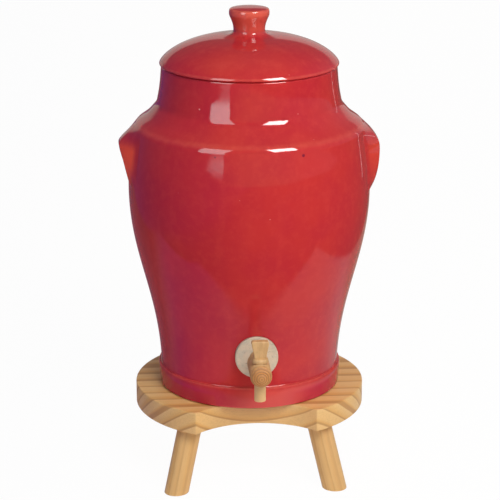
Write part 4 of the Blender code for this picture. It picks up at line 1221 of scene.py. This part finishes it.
def bung_cork():
    """Pale cork: close grains of slightly unlike tones, with grey dust and a few dark pits."""
    cork = Finish("bung_cork")
    tone = cork.parts(cork.cells(cork.place, 620, "Color"))[0]
    crumbs = cork.noise(cork.place, 420, 4, 0.65)
    patches = cork.noise(cork.place, 130)
    pits = crumbs.step(0.42, 0.30)
    colour = cork.layered(
        CORK_PALE,
        (tone * 0.6, CORK_BROWN),
        (patches.step(0.45, 0.7) * 0.5, CORK_GREY),
        (pits * 0.75, CORK_PIT),
    )
    cork.feed(Base_Color=colour, Roughness=0.85)
    cork.feed(Normal=cork.relief(crumbs - pits * 0.5, 0.35 * MM, 0.6))
    return cork.material


def direction(turn, rise):
    """Unit vector to a turn to the right of the camera, seen from the crock, and a rise."""
    heading = CAMERA_TURN - math.radians(turn)
    rise = math.radians(rise)
    level = np.array([-math.sin(heading), -math.cos(heading), 0])
    return level * math.cos(rise) + (0, 0, math.sin(rise))


def add_lamp(name, turn, rise, distance, width, height, radiance, colour, seen_in="mirrors"):
    """Rectangular lamp that faces the crock's middle, with the power that gives its radiance.

    It either lights rough surfaces or is mirrored in the glaze.
    """
    lamp = bpy.data.lights.new(name, "AREA")
    lamp.shape = "RECTANGLE"
    lamp.size = width
    lamp.size_y = height
    lamp.energy = radiance * math.pi * width * height
    lamp.color = colour
    holder = in_scene(name, lamp)
    holder.visible_diffuse = seen_in == "rough"
    holder.visible_glossy = seen_in == "mirrors"
    holder.location = (0, AXIS_Y, LAMPS_AIM) + distance * direction(turn, rise)
    heading = math.radians(turn) - CAMERA_TURN
    holder.rotation_euler = Euler((math.radians(90 - rise), 0, heading), "XYZ")
    return lamp


def shape_window(lamp):
    """Soft edges for the window's light, whose lower left corner is cut off on the slant."""
    lamp.use_nodes = True
    glow = Nodes(lamp.node_tree)
    across, up = glow.parts(glow.add("ShaderNodeTexCoord", output="UV"))[:2]
    share = across.step(0.0, 0.12) * across.step(1.0, 0.97)
    share = share * up.step(1.0, 0.93) * up.step(0.05, 0.22)
    share = share * (up * 25 + across * 3 - 3.6).step(0.0, 1.0)
    emission = next(node for node in glow.tree.nodes if node.type == "EMISSION")
    glow.connect(emission.inputs["Strength"], share)


def add_camera():
    """Camera at the photograph's angle, turned a little so that the crock stands as far left."""
    camera = bpy.data.cameras.new("camera")
    camera.lens = FOCAL_PIXELS * SENSOR_WIDTH / FRAME_PIXELS
    camera.sensor_width = SENSOR_WIDTH
    holder = in_scene("camera", camera)
    holder.location = (
        -CAMERA_DISTANCE * math.sin(CAMERA_TURN),
        AXIS_Y - CAMERA_DISTANCE * math.cos(CAMERA_TURN),
        CAMERA_HEIGHT,
    )
    heading = -CAMERA_TURN - math.atan(AXIS_OFFSET_PIXELS / FOCAL_PIXELS)
    holder.rotation_euler = Euler((math.pi / 2 - CAMERA_TILT, 0, heading), "XYZ")
    bpy.context.scene.camera = holder


def add_floor():
    """Plain white floor, duller to the left of the crock.

    What mirrors in the glaze is a pale sheet under the crock, which ends just before it, on a
    darker bare floor.
    """
    mesh = bpy.data.meshes.new("floor")
    corners = FLOOR_REACH * points_at((-1, 1, 1, -1), (-1, -1, 1, 1), 0)
    mesh.from_pydata(corners, [], [(0, 1, 2, 3)])
    floor = in_scene("floor", mesh)
    white = Finish("white_floor", Roughness=0.9, Specular_IOR_Level=0.0, Emission_Strength=0.28)
    x, y = white.parts(white.place)[:2]
    lit_side = x.step(*LIT_SIDE)
    white.feed(Base_Color=white.mix(lit_side, FLOOR_DULL, FLOOR_WHITE))
    white.feed(Emission_Color=white.mix(lit_side, FLOOR_DULL_GLOW, FLOOR_GLOW))
    # The further back, the further left the sheet's left edge lies.
    left_edge = -0.30 - 0.28 * y.step(-0.25, 0.12) - 0.15 * y.step(0.2, 1.2)
    sheet = y.step(*SHEET_NEAR) * x.step(*SHEET_RIGHT)
    sheet = sheet * (x - left_edge).step(-SHEET_LEFT_BLUR, SHEET_LEFT_BLUR)
    sheet_colour = white.layered(
        SHEET_FRONT,
        (y.step(-0.2, 0.9), SHEET_BACK),
        (x.step(0.05, -0.30) * y.step(0.3, 0.0), SHEET_FRONT_LEFT),
        (x.step(-0.02, -0.14) * y.step(0.02, 0.20), SHEET_BACK_LEFT),
        (x.step(0.10, 0.25) * y.step(0.1, 0.3), SHEET_BACK_RIGHT),
    )
    bare_floor = white.mix(x.step(-0.25, -0.7), BARE_RIGHT, BARE_LEFT)
    kind = "ShaderNodeEmission"
    mirrored = white.add(kind, {}, {"Color": white.mix(sheet, bare_floor, sheet_colour)})
    clear = white.add(kind, {}, {"Color": CLEAR_WHITE})
    lit = Wire(white, white.shader.outputs[0])
    camera_ray, glossy_ray = white.rays("Camera", "Glossy")
    surface = white.add("ShaderNodeMixShader", {}, {0: glossy_ray, 1: lit, 2: mirrored})
    surface = white.add("ShaderNodeMixShader", {}, {0: camera_ray * CLEAR_SHARE, 1: surface, 2: clear})
    white.connect(white.tree.nodes["Material Output"].inputs["Surface"], surface)
    mesh.materials.append(white.material)


def light_world():
    """White to the camera, a dim room with a pale backdrop to the glaze, else a soft fill."""
    world = bpy.data.worlds.new("studio")
    world.use_nodes = True
    bpy.context.scene.world = world
    room = Nodes(world.node_tree)
    towards = room.add("ShaderNodeTexCoord", output="Generated")

    def facing(turn):
        """Cosine of the angle between a direction and a turn from the camera."""
        inputs = {0: towards, 1: direction(turn, 0)}
        settings = {"operation": "DOT_PRODUCT"}
        return room.add("ShaderNodeVectorMath", settings, inputs, "Value")

    rise = room.parts(towards)[2]
    mirrored = room.layered(
        ROOM_DARK,
        (facing(0).step(0.2, 0.9) * rise.step(0.75, 0.2), ROOM_FRONT),
        (facing(-82).step(0.0, 0.85), ROOM_LEFT),
        (facing(95).step(0.3, 0.9), ROOM_RIGHT),
        (rise.step(0.70, 0.95), ROOM_CEILING),
        (facing(180).step(0.76, 0.86) * rise.step(0.31, 0.26), BACKDROP),
    )
    fill = room.layered(
        FILL,
        (facing(-100).step(-0.35, 0.55), FILL_LEFT),
        (rise.step(0.45, 0.9), FILL_ABOVE),
    )
    camera_ray, glossy_ray, clear_ray = room.rays("Camera", "Glossy", "Transmission")
    seen = room.layered(
        fill, (glossy_ray, mirrored), (clear_ray, CLEAR_WHITE), (camera_ray, CLEAR_WHITE)
    )
    room.connect(room.tree.nodes["Background"].inputs["Color"], seen)


add_camera()
bpy.context.scene.view_settings.view_transform = "Standard"
add_floor()
light_world()
add_lamp(*KEY_LAMP, seen_in="rough")
add_lamp(*KEY_LAMP_IN_GLAZE)
shape_window(add_lamp(*WINDOW))
add_lamp(*RIGHT_STRIP)

glaze = red_glaze()
make_pot(glaze)
make_lid(glaze)
make_cork(bung_cork())
turned_wood = tap_wood()
make_barrel(turned_wood)
make_key(turned_wood)
make_board(pine(
    "pine_board", (0, AXIS_Y, BOARD_TOP), (BOARD_RING_TILT, 0, 0),
    BOARD_RING_WIDTH, BOARD_PITH_DEPTH, BOARD_SEED,
))
make_legs()
